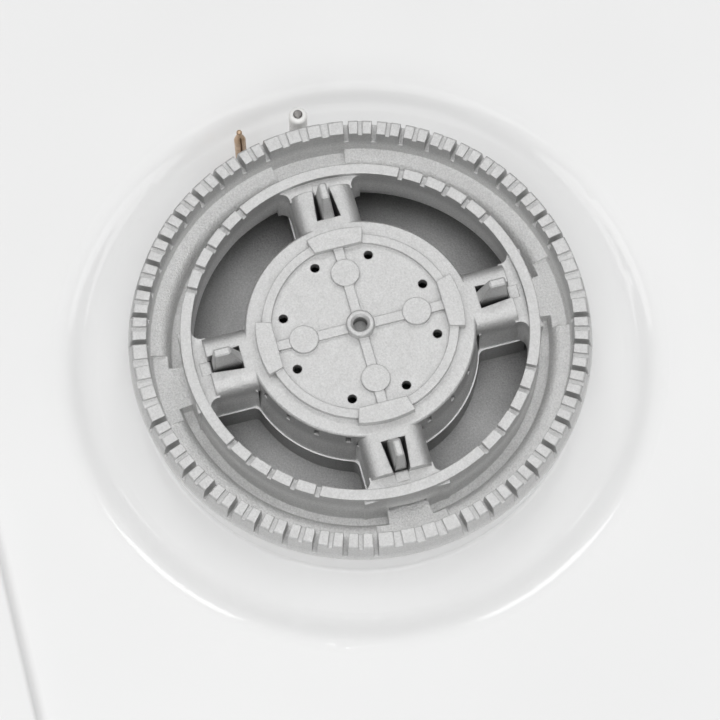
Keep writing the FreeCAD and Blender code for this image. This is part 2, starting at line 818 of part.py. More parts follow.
def make_top_plate():
    plate = body("top_plate")
    zone = sketch(plate, "zone_outline", "XY_Plane", "zone_under")
    outline(zone, rounded("-zone_side + half_run", "zone_side - half_run", "zone_front_y + half_run",
                          "zone_back_y - half_run", "zone_corner - half_run"))
    ring(zone, "0", "burner_y", "dish_rim_radius + dish_join")
    pad(plate, zone, "sheet")

    riser_path = sketch(plate, "riser_path", "XY_Plane", "zone_top")
    outline(riser_path, rounded("-zone_side", "zone_side", "zone_front_y", "zone_back_y", "zone_corner"))
    riser = sketch(plate, "riser_section", "XZ_Plane", "-zone_middle_y")
    lean = "2 * atan(zone_drop / riser_run)"
    hollow = "(riser_run / sin(%s) - riser_round)" % lean
    foot = "zone_side - half_run"
    head = "zone_side + half_run"
    bend_x = "%s + %s * sin(%s)" % (foot, hollow, lean)
    bend_z = "zone_top + %s * (1 - cos(%s))" % (hollow, lean)
    outline(riser, [(foot, "zone_top"),
                    (bend_x, bend_z, hollow),
                    (head, "border_top", "-riser_round"),
                    (head, "border_under"),
                    ("%s + sheet * sin(%s)" % (bend_x, lean), "%s - sheet * cos(%s)" % (bend_z, lean),
                     "riser_round - sheet"),
                    (foot, "zone_under", "-(%s + sheet)" % hollow)])
    pipe(plate, riser, riser_path)

    border = sketch(plate, "border_outline", "XY_Plane", "border_under")
    edge_x = "plate_width / 2 - edge_round"
    edge_y = "plate_depth / 2 - edge_round"
    edge = rounded("-(%s)" % edge_x, edge_x, "-(%s)" % edge_y, edge_y, "plate_corner - edge_round")
    outline(border, edge)
    outline(border, rounded("-zone_side - half_run", head, "zone_front_y - half_run",
                            "zone_back_y + half_run", "zone_corner + half_run"))
    ring(border, "0", "knob_y", "seal_hole_radius")
    pad(plate, border, "sheet")

    rim_path = sketch(plate, "rim_path", "XY_Plane", "border_top")
    outline(rim_path, edge)
    rim = sketch(plate, "rim_section", "XZ_Plane")
    outline(rim, [(edge_x, "border_top"),
                  ("plate_width / 2", "border_top - edge_round", "-edge_round"),
                  ("plate_width / 2", "box_depth"),
                  ("plate_width / 2 - sheet", "box_depth"),
                  ("plate_width / 2 - sheet", "border_top - edge_round"),
                  (edge_x, "border_under", "edge_round - sheet")])
    pipe(plate, rim, rim_path)

    dish = sketch(plate, "dish_section", "XZ_Plane", "-burner_y")
    run = "(dish_rim_radius - dish_floor_radius)"
    slope = "2 * atan(dish_drop / %s)" % run
    bend = "(%s / 2 / sin(%s))" % (run, slope)
    middle_r = "(dish_floor_radius + dish_rim_radius) / 2"
    middle_z = "dish_floor + dish_drop / 2"
    under_r = "%s + sheet * sin(%s)" % (middle_r, slope)
    under_z = "%s - sheet * cos(%s)" % (middle_z, slope)
    outline(dish, [("collar_radius - sheet", "collar_top"),
                   ("collar_radius - sheet", "dish_floor + collar_foot"),
                   ("collar_radius + collar_foot", "dish_floor - sheet", "collar_foot + sheet"),
                   ("dish_floor_radius", "dish_floor - sheet"),
                   (under_r, under_z, bend + " + sheet"),
                   ("dish_rim_radius", "zone_under", "-(%s - sheet)" % bend),
                   ("dish_rim_radius + dish_join", "zone_under"),
                   ("dish_rim_radius + dish_join", "zone_top"),
                   ("dish_rim_radius", "zone_top"),
                   (middle_r, middle_z, bend),
                   ("dish_floor_radius", "dish_floor", "-" + bend),
                   ("collar_radius + collar_foot", "dish_floor"),
                   ("collar_radius", "dish_floor + collar_foot", "-collar_foot"),
                   ("collar_radius", "collar_top")])
    revolve(plate, dish)

    holes = sketch(plate, "dish_holes", "XY_Plane", "dish_floor + cut_over")
    ring(holes, "electrode_x", "burner_y", "electrode_radius + electrode_play")
    ring(holes, "probe_x", "probe_y", "probe_radius + electrode_play")
    pocket(plate, holes, "sheet + 2 * cut_over")
    node(plate, "top_plate")


# How many of each lie in a quarter of the burner
FLAME_SLOTS = 10
WEDGE_NOTCHES = 3
INNER_NOTCHES = 5
HUB_PORTS = 4


def spokes(piece, name, inner, outer, inner_width, outer_width, depth, angle, pitch, count):
    """Rows of upright cutters that point outward, a row in each quarter, from a depth to above the top."""
    drawing = sketch(piece, name, "XY_Plane", "-" + depth)
    outline(drawing, turned([(inner, "-%s / 2" % inner_width), (outer, "-%s / 2" % outer_width),
                             (outer, "%s / 2" % outer_width), (inner, "%s / 2" % inner_width)], angle))
    row = (count, "%d * %s" % (count - 1, pitch))
    polar(piece, pad(piece, drawing, depth + " + cut_over"), row, QUARTERS)


# Burner head: toothed ring, channel, inner ring, four hollow arms and the hub


def make_burner_head():
    head = body("head_casting", "0", "burner_y", "head_top")
    ring_section = sketch(head, "ring_section", "XZ_Plane")
    outline(ring_section, [("teeth_inner", "0"),
                           ("ledge_outer", "-ledge_drop"),
                           ("ledge_inner + ledge_round", "-ledge_drop - ledge_fall"),
                           ("ledge_inner", "-ledge_drop - ledge_fall - ledge_round", "ledge_round"),
                           ("ledge_inner", "-channel_drop"),
                           ("channel_inner", "-channel_drop"),
                           ("ring_outer", "0"),
                           ("ring_inner", "0"),
                           ("ring_inner", "-ring_lip_drop"),
                           ("ring_inner + ring_recess", "-ring_lip_drop - ring_recess"),
                           ("ring_inner + ring_recess", "-ring_foot_drop"),
                           ("ledge_inner + head_wall", "-ring_foot_drop"),
                           ("ledge_inner + head_wall", "-ledge_drop - ledge_slope - head_wall"),
                           ("skirt_inner - skirt_wall", "-ledge_drop - head_wall"),
                           ("skirt_inner - skirt_wall", "-seat_drop"),
                           ("skirt_inner", "-seat_drop"),
                           ("skirt_inner", "-skirt_drop"),
                           ("skirt_radius", "-skirt_drop"),
                           ("teeth_outer", "-teeth_edge"),
                           ("teeth_outer - teeth_edge", "0")])
    revolve(head, ring_section)

    # Each arm is a flared casting in plan, with a rounded back
    arms = sketch(head, "arm_plan", "XY_Plane", "-seat_drop")
    hub_reach = "(hub_foot_radius + arm_root_fillet)"
    hub_x = "sqrt(%s ^ 2 - (arm_half + arm_root_fillet) ^ 2)" % hub_reach
    ring_reach = "(ring_inner - arm_ring_fillet)"
    ring_x = "sqrt(%s ^ 2 - (arm_half + arm_ring_fillet) ^ 2)" % ring_reach
    hub_touch = ("hub_foot_radius / %s * %s" % (hub_reach, hub_x),
                 "hub_foot_radius / %s * (arm_half + arm_root_fillet)" % hub_reach)
    ring_touch = ("ring_inner / %s * %s" % (ring_reach, ring_x),
                  "ring_inner / %s * (arm_half + arm_ring_fillet)" % ring_reach)
    deep = "ring_inner + ring_recess + cut_over / 2"
    outline(arms, [(hub_touch[0], "-" + hub_touch[1]),
                   (hub_x, "-arm_half", "-arm_root_fillet"),
                   (ring_x, "-arm_half"),
                   (ring_touch[0], "-" + ring_touch[1], "-arm_ring_fillet"),
                   (deep, "-" + ring_touch[1]),
                   (deep, ring_touch[1]),
                   ring_touch,
                   (ring_x, "arm_half", "-arm_ring_fillet"),
                   (hub_x, "arm_half"),
                   (hub_touch[0], hub_touch[1], "-arm_root_fillet")])
    shoulder = "(arm_drop + arm_round)"
    polar(head, pad(head, arms, "seat_drop - " + shoulder), QUARTERS)

    back = sketch(head, "arm_back", "YZ_Plane", "hub_radius - cut_over")
    outline(back, [("-arm_half", "-%s - cut_over" % shoulder),
                   ("arm_half", "-%s - cut_over" % shoulder),
                   ("arm_half", "-" + shoulder),
                   ("arm_half - arm_round", "-arm_drop", "arm_round"),
                   ("-arm_half + arm_round", "-arm_drop"),
                   ("-arm_half", "-" + shoulder, "arm_round")])
    polar(head, pad(head, back, "step_inner - hub_radius + cut_over"), QUARTERS)

    step = sketch(head, "arm_step", "XY_Plane", "-%s - cut_over" % shoulder)
    outline(step, [("step_inner - cut_over", "-arm_half"),
                   (ring_x, "-arm_half"),
                   (ring_touch[0], "-" + ring_touch[1], "-arm_ring_fillet"),
                   (deep, "-" + ring_touch[1]),
                   (deep, ring_touch[1]),
                   ring_touch,
                   (ring_x, "arm_half", "-arm_ring_fillet"),
                   ("step_inner - cut_over", "arm_half")])
    polar(head, pad(head, step, shoulder + " + cut_over - step_drop"), QUARTERS)

    hub_section = sketch(head, "hub_section", "XZ_Plane")
    outline(hub_section, [("0", "hub_floor_rise"),
                          ("0", "-chamber_drop"),
                          ("chamber_radius", "-chamber_drop"),
                          ("chamber_radius", "-seat_drop"),
                          ("hub_foot_radius", "-seat_drop"),
                          ("hub_radius", "hub_rise - hub_edge"),
                          ("hub_radius - hub_edge", "hub_rise"),
                          ("hub_rim_outer", "hub_rise"),
                          ("hub_rim_outer", "hub_rim_rise"),
                          ("hub_rim_inner", "hub_rim_rise"),
                          ("hub_rim_inner", "hub_floor_rise")])
    revolve(head, hub_section)

    # Raised blocks, bosses, ribs and the central pin boss on the hub
    blocks = sketch(head, "hub_blocks", "XY_Plane")
    outline(blocks, sector("hub_rim_inner", "block_outer", "block_half_angle"))
    polar(head, pad(head, blocks, "block_rise"), QUARTERS)
    ribs = sketch(head, "hub_ribs", "XY_Plane")
    rectangle(ribs, "0", "hub_rim_inner + cut_over", "-rib_width / 2", "rib_width / 2")
    polar(head, pad(head, ribs, "rib_rise"), QUARTERS)
    bosses = sketch(head, "hub_bosses", "XY_Plane")
    ring(bosses, "boss_circle", "0", "boss_diameter / 2")
    polar(head, pad(head, bosses, "boss_rise"), QUARTERS)
    pin_boss = sketch(head, "pin_boss", "XZ_Plane")
    outline(pin_boss, [("0", "-chamber_drop"),
                       ("pin_boss_diameter / 2", "-chamber_drop"),
                       ("pin_boss_diameter / 2", "pin_boss_rise - pin_boss_edge"),
                       ("pin_boss_diameter / 2 - pin_boss_edge", "pin_boss_rise"),
                       ("0", "pin_boss_rise")])
    revolve(head, pin_boss)
    pin_hole = sketch(head, "pin_hole", "XZ_Plane")
    outline(pin_hole, [("0", "pin_hole_floor"),
                       ("pin_hole_diameter / 2", "pin_hole_floor"),
                       ("pin_hole_diameter / 2", "pin_boss_rise - pin_countersink"),
                       ("pin_hole_diameter / 2 + pin_countersink", "pin_boss_rise"),
                       ("pin_hole_diameter / 2 + pin_countersink", "pin_boss_rise + cut_over"),
                       ("0", "pin_boss_rise + cut_over")])
    revolve(head, pin_hole, "Groove")
    holes = sketch(head, "hub_holes", "XY_Plane", "block_rise")
    for side in ("-", ""):
        ring(holes, "hole_circle * cos(hole_half_angle)", side + "hole_circle * sin(hole_half_angle)",
             "hole_diameter / 2")
    polar(head, pocket(head, holes, "block_rise + chamber_drop + cut_over"), QUARTERS)

    # Hollow way for the gas: along each arm, under the inner ring and out over a pad in the channel
    neck = sketch(head, "pad_neck", "XY_Plane", "-ring_foot_drop")
    outline(neck, sector("channel_inner - cut_over", "ledge_inner + cut_over", "pad_neck_angle"))
    polar(head, pad(head, neck, "ring_foot_drop - pad_drop"), QUARTERS)
    ear = sketch(head, "pad_ear", "XY_Plane", "-pad_drop")
    outline(ear, sector("ledge_inner - cut_over / 2", "ledge_outer", "pad_half_angle"))
    polar(head, pocket(head, ear, "pad_drop - ledge_drop + cut_over / 2", True), QUARTERS)
    ramp = sketch(head, "pad_ramp", "XZ_Plane")
    outline(ramp, [("ledge_outer - pad_slope", "-pad_drop"),
                   ("ledge_outer - pad_slope", "-pad_drop - cut_over / 2"),
                   ("ledge_outer + cut_over / 2", "-pad_drop - cut_over / 2"),
                   ("ledge_outer + cut_over / 2", "-ledge_drop - pad_rim"),
                   ("ledge_outer", "-ledge_drop - pad_rim")])
    revolve(head, ramp)
    duct = sketch(head, "arm_duct", "YZ_Plane", "duct_start")
    rectangle(duct, "-duct_width / 2", "duct_width / 2", "-seat_drop - cut_over", "-duct_drop")
    polar(head, pocket(head, duct, "cup_arm_end - duct_start", True), QUARTERS)
    mouth = sketch(head, "arm_mouth", "YZ_Plane", "ring_inner - mouth_overlap")
    rectangle(mouth, "-mouth_width / 2", "mouth_width / 2", "-pad_drop", "-duct_drop")
    polar(head, pocket(head, mouth, "channel_inner - ring_inner + mouth_overlap + cut_over", True), QUARTERS)

    # Pocket and lug in the back of each arm
    floor_z = "-arm_drop - pocket_depth"
    well = sketch(head, "arm_well", "XY_Plane", floor_z)
    outline(well, [("pocket_start", "-pocket_hub_width / 2"),
                   ("pocket_end", "-pocket_ring_width / 2"),
                   ("pocket_end", "pocket_ring_width / 2"),
                   ("pocket_start", "pocket_hub_width / 2")])
    polar(head, pocket(head, well, "pocket_depth + cut_over / 2", True, "pocket_taper"), QUARTERS)
    lug = sketch(head, "arm_lug", "XZ_Plane")
    outline(lug, [("ring_inner - lug_length", floor_z),
                  ("ring_inner - lug_length", floor_z + " - cut_over / 2"),
                  ("ring_inner + cut_over / 2", floor_z + " - cut_over / 2"),
                  ("ring_inner + cut_over / 2", "-lug_drop"),
                  ("ring_inner - lug_flat", "-lug_drop")])
    polar(head, pad(head, lug, "lug_width", False, True), QUARTERS)

    # Flame slots and notches of the toothed ring and notches of the inner ring
    slots = body("flame_slots", "0", "burner_y", "head_top")
    slots.AllowCompound = True
    within = "ledge_outer - cut_over"
    beyond = "skirt_radius + cut_over"
    spokes(slots, "flame_slot", within, beyond, "slot_width", "slot_width", "slot_depth",
           "slot_first", "slot_pitch", FLAME_SLOTS)
    spokes(slots, "tooth_notch", within, beyond, "notch_width", "notch_width", "notch_depth",
           "slot_first + slot_pitch / 2", "slot_pitch", FLAME_SLOTS - 1)
    spokes(slots, "wedge_notch", within, beyond, "wedge_inner_width", "wedge_outer_width", "notch_depth",
           "-wedge_pitch", "wedge_pitch", WEDGE_NOTCHES)
    spokes(slots, "inner_notch", "ring_inner - cut_over", "channel_inner + cut_over", "ring_notch_width",
           "ring_notch_width", "ring_notch_depth", "45 - 2 * ring_notch_pitch", "ring_notch_pitch",
           INNER_NOTCHES)

    # Ports in the wall of the hub, between the arms
    ports = sketch(slots, "hub_port", "YZ_Plane")
    ports.AttachmentOffset = FreeCAD.Placement(V(), FreeCAD.Rotation(V(0, 1, 0), 1))
    bind(ports, **{"AttachmentOffset.Rotation.Angle": "45 - port_outer_angle",
                   "AttachmentOffset.Base.x": "(chamber_radius - cut_over) * sin(45 - port_outer_angle)",
                   "AttachmentOffset.Base.z": "(chamber_radius - cut_over) * cos(45 - port_outer_angle)"})
    rectangle(ports, "-port_width / 2", "port_width / 2", "-port_drop - port_height", "-port_drop")
    port = pad(slots, ports, "hub_foot_radius - chamber_radius + 2 * cut_over")
    polar(slots, port, (HUB_PORTS, "2 * port_outer_angle"), QUARTERS)
    node(cut("slotted_head", head, slots), "burner_head")


def arm_plan(margin, end):
    """An arm in plan, flared where it meets the hub and cut square at its end."""
    hub = "(hub_foot_radius + %s)" % margin
    half = "(arm_half + %s)" % margin
    fillet = "(arm_hub_fillet - %s)" % margin
    reach = "(%s + %s)" % (hub, fillet)
    flare = "sqrt(%s ^ 2 - (%s + %s) ^ 2)" % (reach, half, fillet)
    touch_x = "%s / %s * %s" % (hub, reach, flare)
    touch_y = "%s / %s * (%s + %s)" % (hub, reach, half, fillet)
    return [(touch_x, "-" + touch_y),
            (flare, "-" + half, "-" + fillet),
            (end, "-" + half),
            (end, half),
            (flare, half),
            (touch_x, touch_y, "-" + fillet)]


# Burner cup: floor, flange, chamber walls that match the head, and the pit that holds the injector


def make_burner_cup():
    cup = body("burner_cup", "0", "burner_y", "head_top")
    section = sketch(cup, "cup_section", "XZ_Plane")
    outline(section, [("0", "-cup_foot_drop"),
                      ("injector_boss_radius", "-cup_foot_drop"),
                      ("injector_boss_radius", "-pit_floor_drop - pit_wall"),
                      ("pit_radius + pit_wall", "-pit_floor_drop - pit_wall"),
                      ("pit_radius + pit_wall", "-flange_foot_drop"),
                      ("cup_flange_radius", "-flange_foot_drop"),
                      ("cup_flange_radius", "-flange_top_drop"),
                      ("cup_wall_radius", "-flange_top_drop"),
                      ("cup_wall_radius", "-seat_drop"),
                      ("cup_wall_radius - cup_wall", "-seat_drop"),
                      ("cup_wall_radius - cup_wall", "-cup_floor_drop"),
                      ("pit_radius", "-cup_floor_drop"),
                      ("pit_radius", "-pit_floor_drop"),
                      ("0", "-pit_floor_drop")])
    revolve(cup, section)
    wall_height = "cup_floor_drop - seat_drop"
    chamber = sketch(cup, "chamber_wall", "XY_Plane", "-cup_floor_drop")
    ring(chamber, "0", "0", "hub_foot_radius + cup_margin")
    ring(chamber, "0", "0", "hub_foot_radius + cup_margin - cup_wall")
    pad(cup, chamber, wall_height)
    arm = sketch(cup, "chamber_arm", "XY_Plane", "-cup_floor_drop")
    outline(arm, arm_plan("cup_margin", "cup_arm_end"))
    polar(cup, pad(cup, arm, wall_height), QUARTERS)
    way = sketch(cup, "chamber_way", "XY_Plane", "-seat_drop")
    rectangle(way, "pit_radius", "cup_arm_end - cup_wall", "-duct_width / 2", "duct_width / 2")
    polar(cup, pocket(cup, way, wall_height), QUARTERS)

    stub = sketch(cup, "inlet_stub", "XZ_Plane")
    ring(stub, "0", "-inlet_drop", "inlet_boss_radius")
    pad(cup, stub, "inlet_boss_reach")
    bore = sketch(cup, "inlet_bore", "XZ_Plane", "inlet_boss_reach")
    ring(bore, "0", "-inlet_drop", "inlet_bore_radius")
    pocket(cup, bore, "inlet_boss_reach")
    thread = sketch(cup, "injector_thread", "XY_Plane", "-pit_floor_drop")
    ring(thread, "0", "0", "injector_thread_radius + thread_play")
    pocket(cup, thread, "inlet_drop - pit_floor_drop")
    window = sketch(cup, "air_window", "XY_Plane", "-pit_floor_drop + pit_wall")
    outline(window, turned([("pit_radius - cut_over", "-air_window_width / 2"),
                            ("pit_radius + pit_wall + cut_over", "-air_window_width / 2"),
                            ("pit_radius + pit_wall + cut_over", "air_window_width / 2"),
                            ("pit_radius - cut_over", "air_window_width / 2")], "45"))
    polar(cup, pocket(cup, window, "air_window_height", True), QUARTERS)
    studs = sketch(cup, "stud_hole", "XY_Plane", "-flange_top_drop")
    ring(studs, "stud_circle * cos(45)", "stud_circle * sin(45)", "stud_radius + stud_play")
    polar(cup, pocket(cup, studs, "cup_flange + cut_over"), QUARTERS)
    probes = sketch(cup, "probe_holes", "XY_Plane", "-flange_top_drop")
    ring(probes, "electrode_x", "0", "electrode_radius + stud_play")
    ring(probes, "probe_x", "probe_y - burner_y", "probe_radius + stud_play")
    ring(probes, "electrode_x", "clip_screw_y", "clip_screw_radius + thread_play")
    pocket(cup, probes, "cup_flange + cut_over")
    node(cup, "burner_cup")


QUARTER_ANGLES = (45, 135, 225, 315)


def stud_places(height):
    return [("stud_circle * cos(%d)" % angle, "burner_y + stud_circle * sin(%d)" % angle, height)
            for angle in QUARTER_ANGLES]


def make_burner_fixings():
    gasket = body("cup_gasket", "0", "burner_y", "head_top - flange_top_drop")
    plan = sketch(gasket, "gasket_plan", "XY_Plane")
    ring(plan, "0", "0", "cup_flange_radius")
    ring(plan, "0", "0", "gasket_inner")
    for angle in QUARTER_ANGLES:
        ring(plan, "stud_circle * cos(%d)" % angle, "stud_circle * sin(%d)" % angle,
             "stud_radius + stud_play")
    ring(plan, "electrode_x", "0", "electrode_radius + electrode_play")
    ring(plan, "probe_x", "probe_y - burner_y", "probe_radius + electrode_play")
    pad(gasket, plan, "gasket")
    node(gasket, "cup_gasket")

    stud_foot = "dish_floor - sheet - stud_length"
    studs = [rod("stud", "stud_radius", "stud_length", spot) for spot in stud_places(stud_foot)]
    node(group("studs", studs), "weld_studs")
    nuts = [nut("stud_nut", "nut_flats", "nut_height", "stud_radius", spot)
            for spot in stud_places("head_top - flange_foot_drop - nut_height")]
    node(group("stud_nuts", nuts), "cup_nuts")

    pit_floor = "head_top - pit_floor_drop"
    thread_foot = pit_floor + " - injector_thread"
    jet = fuse("jet", hexagon("jet_head", "injector_flats", "injector_head", ("0", "burner_y", pit_floor)),
               rod("jet_thread", "injector_thread_radius", "injector_thread", ("0", "burner_y", thread_foot)))
    hole = rod("jet_hole", "injector_jet", "injector_head + injector_thread", ("0", "burner_y", thread_foot))
    node(cut("injector", jet, hole), "injector")


# Spark electrode with its clip, and the flame sensing thermocouple


def make_electrode():
    ceramic = body("spark_electrode", "electrode_x", "burner_y", "head_top")
    section = sketch(ceramic, "ceramic_section", "XZ_Plane")
    bore = "pin_radius + thread_play"
    outline(section, [(bore, "-electrode_foot_drop"),
                      ("electrode_radius", "-electrode_foot_drop"),
                      ("electrode_radius", "-flange_foot_drop - electrode_collar"),
                      ("electrode_collar_radius", "-flange_foot_drop - electrode_collar"),
                      ("electrode_collar_radius", "-flange_foot_drop"),
                      ("electrode_radius", "-flange_foot_drop"),
                      ("electrode_radius", "-electrode_drop - electrode_edge"),
                      ("electrode_radius - electrode_edge", "-electrode_drop", "electrode_edge"),
                      (bore, "-electrode_drop")])
    revolve(ceramic, section)
    node(ceramic, "spark_electrode")

    pin = body("electrode_pin", "electrode_x", "burner_y", "head_top")
    shank = sketch(pin, "pin_section", "XZ_Plane")
    shank_foot = "-electrode_foot_drop - pin_tail"
    tip = "pin_stand - electrode_drop"
    outline(shank, [("0", shank_foot),
                    ("pin_radius", shank_foot),
                    ("pin_radius", tip + " - pin_edge"),
                    ("pin_radius - pin_edge", tip),
                    ("0", tip)])
    revolve(pin, shank)
    spade = sketch(pin, "spade_plan", "XY_Plane", shank_foot)
    rectangle(spade, "-spade_width / 2", "spade_width / 2", "-spade_sheet / 2", "spade_sheet / 2")
    pad(pin, spade, "spade_length", True)
    node(pin, "electrode_pin")

    under = "head_top - flange_foot_drop"
    tongue_z = under + " - electrode_collar - clip_sheet"
    left = "electrode_x - clip_width / 2"
    tongue = block("tongue", ("clip_width", "clip_width / 2 + clip_step", "clip_sheet"),
                   (left, "burner_y - clip_width / 2", tongue_z))
    step = block("clip_step", ("clip_width", "clip_sheet", "electrode_collar + clip_sheet"),
                 (left, "burner_y + clip_step - clip_sheet", tongue_z))
    foot = block("clip_foot", ("clip_width", "clip_foot + clip_sheet", "clip_sheet"),
                 (left, "burner_y + clip_step - clip_sheet", under + " - clip_sheet"))
    eye = rod("clip_eye", "electrode_radius + stud_play", "clip_sheet", ("electrode_x", "burner_y", tongue_z))
    hole = rod("clip_hole", "clip_screw_radius + thread_play", "clip_sheet",
               ("electrode_x", "burner_y + clip_screw_y", under + " - clip_sheet"))
    node(cut("clip", fuse("clip_strip", tongue, step, foot), eye, hole), "electrode_clip")
    node(screw("clip_bolt", "clip_screw_radius", "cup_flange", "clip_head_radius", "clip_head",
               ("electrode_x", "burner_y + clip_screw_y", under + " - clip_sheet"), "+z"), "clip_screw")


def make_thermocouple():
    probe = body("thermocouple", "probe_x", "probe_y", "head_top")
    section = sketch(probe, "probe_section", "XZ_Plane")
    neck_z = "-probe_ball_radius - sqrt(probe_ball_radius ^ 2 - probe_neck_radius ^ 2)"
    outline(section, [("0", "-probe_foot_drop"),
                      ("probe_radius", "-probe_foot_drop"),
                      ("probe_radius", neck_z + " - probe_taper"),
                      ("probe_neck_radius", neck_z),
                      ("0", "0", "probe_ball_radius")])
    revolve(probe, section)
    slit = sketch(probe, "probe_slit", "YZ_Plane", "probe_radius + cut_over")
    slit_top = neck_z + " - probe_slit_drop"
    rectangle(slit, "-probe_slit / 2", "probe_slit / 2", slit_top + " - probe_slit_length", slit_top)
    pocket(probe, slit, "probe_radius + cut_over")
    node(probe, "thermocouple")
    seat = ("probe_x", "probe_y", "head_top - flange_foot_drop - probe_nut")
    node(nut("probe_nut", "probe_nut_flats", "probe_nut", "probe_radius", seat), "thermocouple_nut")


# Gas tap with its plug, cover and bridge, the flame failure valve and its magnet


def make_tap():
    tap = body("tap_body", "0", "knob_y", "0")
    plan = sketch(tap, "tap_plan", "XY_Plane", "tap_down")
    rectangle(plan, "-tap_width / 2", "tap_width / 2", "-tap_depth / 2", "tap_depth / 2")
    pad(tap, plan, "tap_height")
    ports = sketch(tap, "tap_ports", "XZ_Plane", "cut_over - tap_depth / 2")
    for side in ("-", ""):
        ring(ports, side + "tap_port_spacing / 2", "port_z", "tap_port_radius")
    pad(tap, ports, "tap_port_reach + cut_over", True)
    cone = sketch(tap, "plug_bore", "XZ_Plane")
    outline(cone, [("0", "tap_down - cut_over"),
                   ("tap_seat_radius", "tap_down - cut_over"),
                   ("tap_seat_radius", "plug_down - running_gap"),
                   ("plug_foot_radius + running_gap", "plug_down - running_gap"),
                   ("plug_top_radius + running_gap", "plug_up"),
                   ("plug_top_radius + running_gap", "tap_up + cut_over"),
                   ("0", "tap_up + cut_over")])
    revolve(tap, cone, "Groove")
    bores = sketch(tap, "port_bores", "XZ_Plane", "-tap_depth / 2 - tap_port_reach")
    for side in ("-", ""):
        ring(bores, side + "tap_port_spacing / 2", "port_z", "tap_port_bore")
    pocket(tap, bores, "tap_port_reach + tap_depth / 2 - tap_port_bore", True)
    threads = sketch(tap, "tap_threads", "XY_Plane", "tap_up")
    for side in ("-", ""):
        ring(threads, side + "tap_screw_spacing / 2", "0", "tap_screw_radius + thread_play")
    pocket(tap, threads, "tap_screw_length - bridge_sheet - tap_cover + cut_over")
    node(tap, "tap_body")

    plug = body("tap_plug", "0", "knob_y", "0")
    section = sketch(plug, "plug_section", "XZ_Plane")
    outline(section, [("stem_radius + running_gap", "plug_down"),
                      ("plug_foot_radius", "plug_down"),
                      ("plug_top_radius", "plug_up"),
                      ("stem_radius + running_gap", "plug_up")])
    revolve(plug, section)
    slot = sketch(plug, "plug_slot", "XY_Plane", "plug_up")
    rectangle(slot, "-blade_width / 2 - 2 * running_gap", "blade_width / 2 + 2 * running_gap",
              "-blade_thickness / 2 - 2 * running_gap", "blade_thickness / 2 + 2 * running_gap")
    pocket(plug, slot, "plug_slot_depth")
    port = sketch(plug, "plug_port", "YZ_Plane", "plug_top_radius + cut_over")
    ring(port, "0", "port_z", "plug_port_radius")
    pocket(plug, port, "plug_top_radius + cut_over")
    node(plug, "tap_plug")

    cover = centred_block("cover_plate", ("tap_width", "tap_depth", "tap_cover"), ("0", "knob_y", "tap_up"))
    eye = rod("cover_eye", "spindle_radius + running_gap", "tap_cover", ("0", "knob_y", "tap_up"))
    holes = [rod("cover_hole", "tap_screw_radius + screw_play", "tap_cover", (x, "knob_y", "tap_up"))
             for x in ("-tap_screw_spacing / 2", "tap_screw_spacing / 2")]
    node(cut("cover", cover, eye, *holes), "tap_cover")

    bridge = body("tap_bridge", "0", "knob_y", "0")
    hat = sketch(bridge, "bridge_section", "XZ_Plane")
    inner = "bridge_half_span - bridge_sheet"
    outer = "bridge_half_span + bridge_foot"
    shelf = "border_under - bridge_sheet"
    outline(hat, [("-bridge_half_span", "cover_up"), ("bridge_half_span", "cover_up"),
                  ("bridge_half_span", shelf), (outer, shelf), (outer, "border_under"),
                  (inner, "border_under"), (inner, "bridge_up"), ("-(%s)" % inner, "bridge_up"),
                  ("-(%s)" % inner, "border_under"), ("-(%s)" % outer, "border_under"),
                  ("-(%s)" % outer, shelf), ("-bridge_half_span", shelf)])
    pad(bridge, hat, "bridge_width", False, True)
    lip = sketch(bridge, "bridge_lip", "XZ_Plane", "bridge_width / 2 - bridge_sheet")
    rectangle(lip, "-switch_width / 2", "switch_width / 2", "cover_up - bridge_lip_drop", "bridge_up")
    pad(bridge, lip, "bridge_sheet")
    holes = sketch(bridge, "bridge_holes", "XY_Plane", "bridge_up")
    ring(holes, "0", "0", "bridge_hole_radius")
    for side in ("-", ""):
        ring(holes, side + "tap_screw_spacing / 2", "0", "tap_screw_radius + screw_play")
    pocket(bridge, holes, "bridge_sheet + cut_over / 2")
    node(bridge, "tap_bridge")
    screws = [screw("tap_bolt", "tap_screw_radius", "tap_screw_length", "tap_screw_head_radius",
                    "tap_screw_head", (x, "knob_y", "bridge_up"), "-z")
              for x in ("-tap_screw_spacing / 2", "tap_screw_spacing / 2")]
    node(group("tap_bolts", screws), "tap_screws")


def make_flame_failure_valve():
    axis = ("0", "knob_y")
    stem = fuse("stem", rod("stem_rod", "stem_radius", "stem_up - valve_up", axis + ("valve_up",)),
                rod("stem_disc", "valve_radius", "valve_disc", axis + ("valve_up - valve_disc",)))
    node(stem, "valve_stem")
    magnet = body("magnet_barrel", "0", "knob_y", "0")
    barrel = sketch(magnet, "magnet_section", "XZ_Plane")
    cavity_floor = "tap_down - magnet_cavity_depth"
    outline(barrel, [("0", "magnet_down"),
                     ("magnet_barrel_radius", "magnet_down"),
                     ("magnet_barrel_radius", "tap_down"),
                     ("magnet_cavity_radius", "tap_down"),
                     ("magnet_cavity_radius", cavity_floor),
                     ("magnet_core_radius", cavity_floor),
                     ("magnet_core_radius", cavity_floor + " + magnet_core"),
                     ("0", cavity_floor + " + magnet_core")])
    revolve(magnet, barrel)
    seat = axis + ("tap_down - magnet_hex",)
    collar = cut("magnet_hex", hexagon("magnet_hex_blank", "magnet_flats", "magnet_hex", seat),
                 rod("magnet_hex_bore", "(magnet_cavity_radius + magnet_barrel_radius) / 2",
                     "magnet_hex", seat))
    node(fuse("magnet", magnet, collar), "magnet_unit")
    spot = axis + ("lead_nut_down",)
    node(nut("lead_end", "lead_nut_flats", "lead_nut", "capillary_radius", spot), "lead_nut")


# Spindle, spring and knob


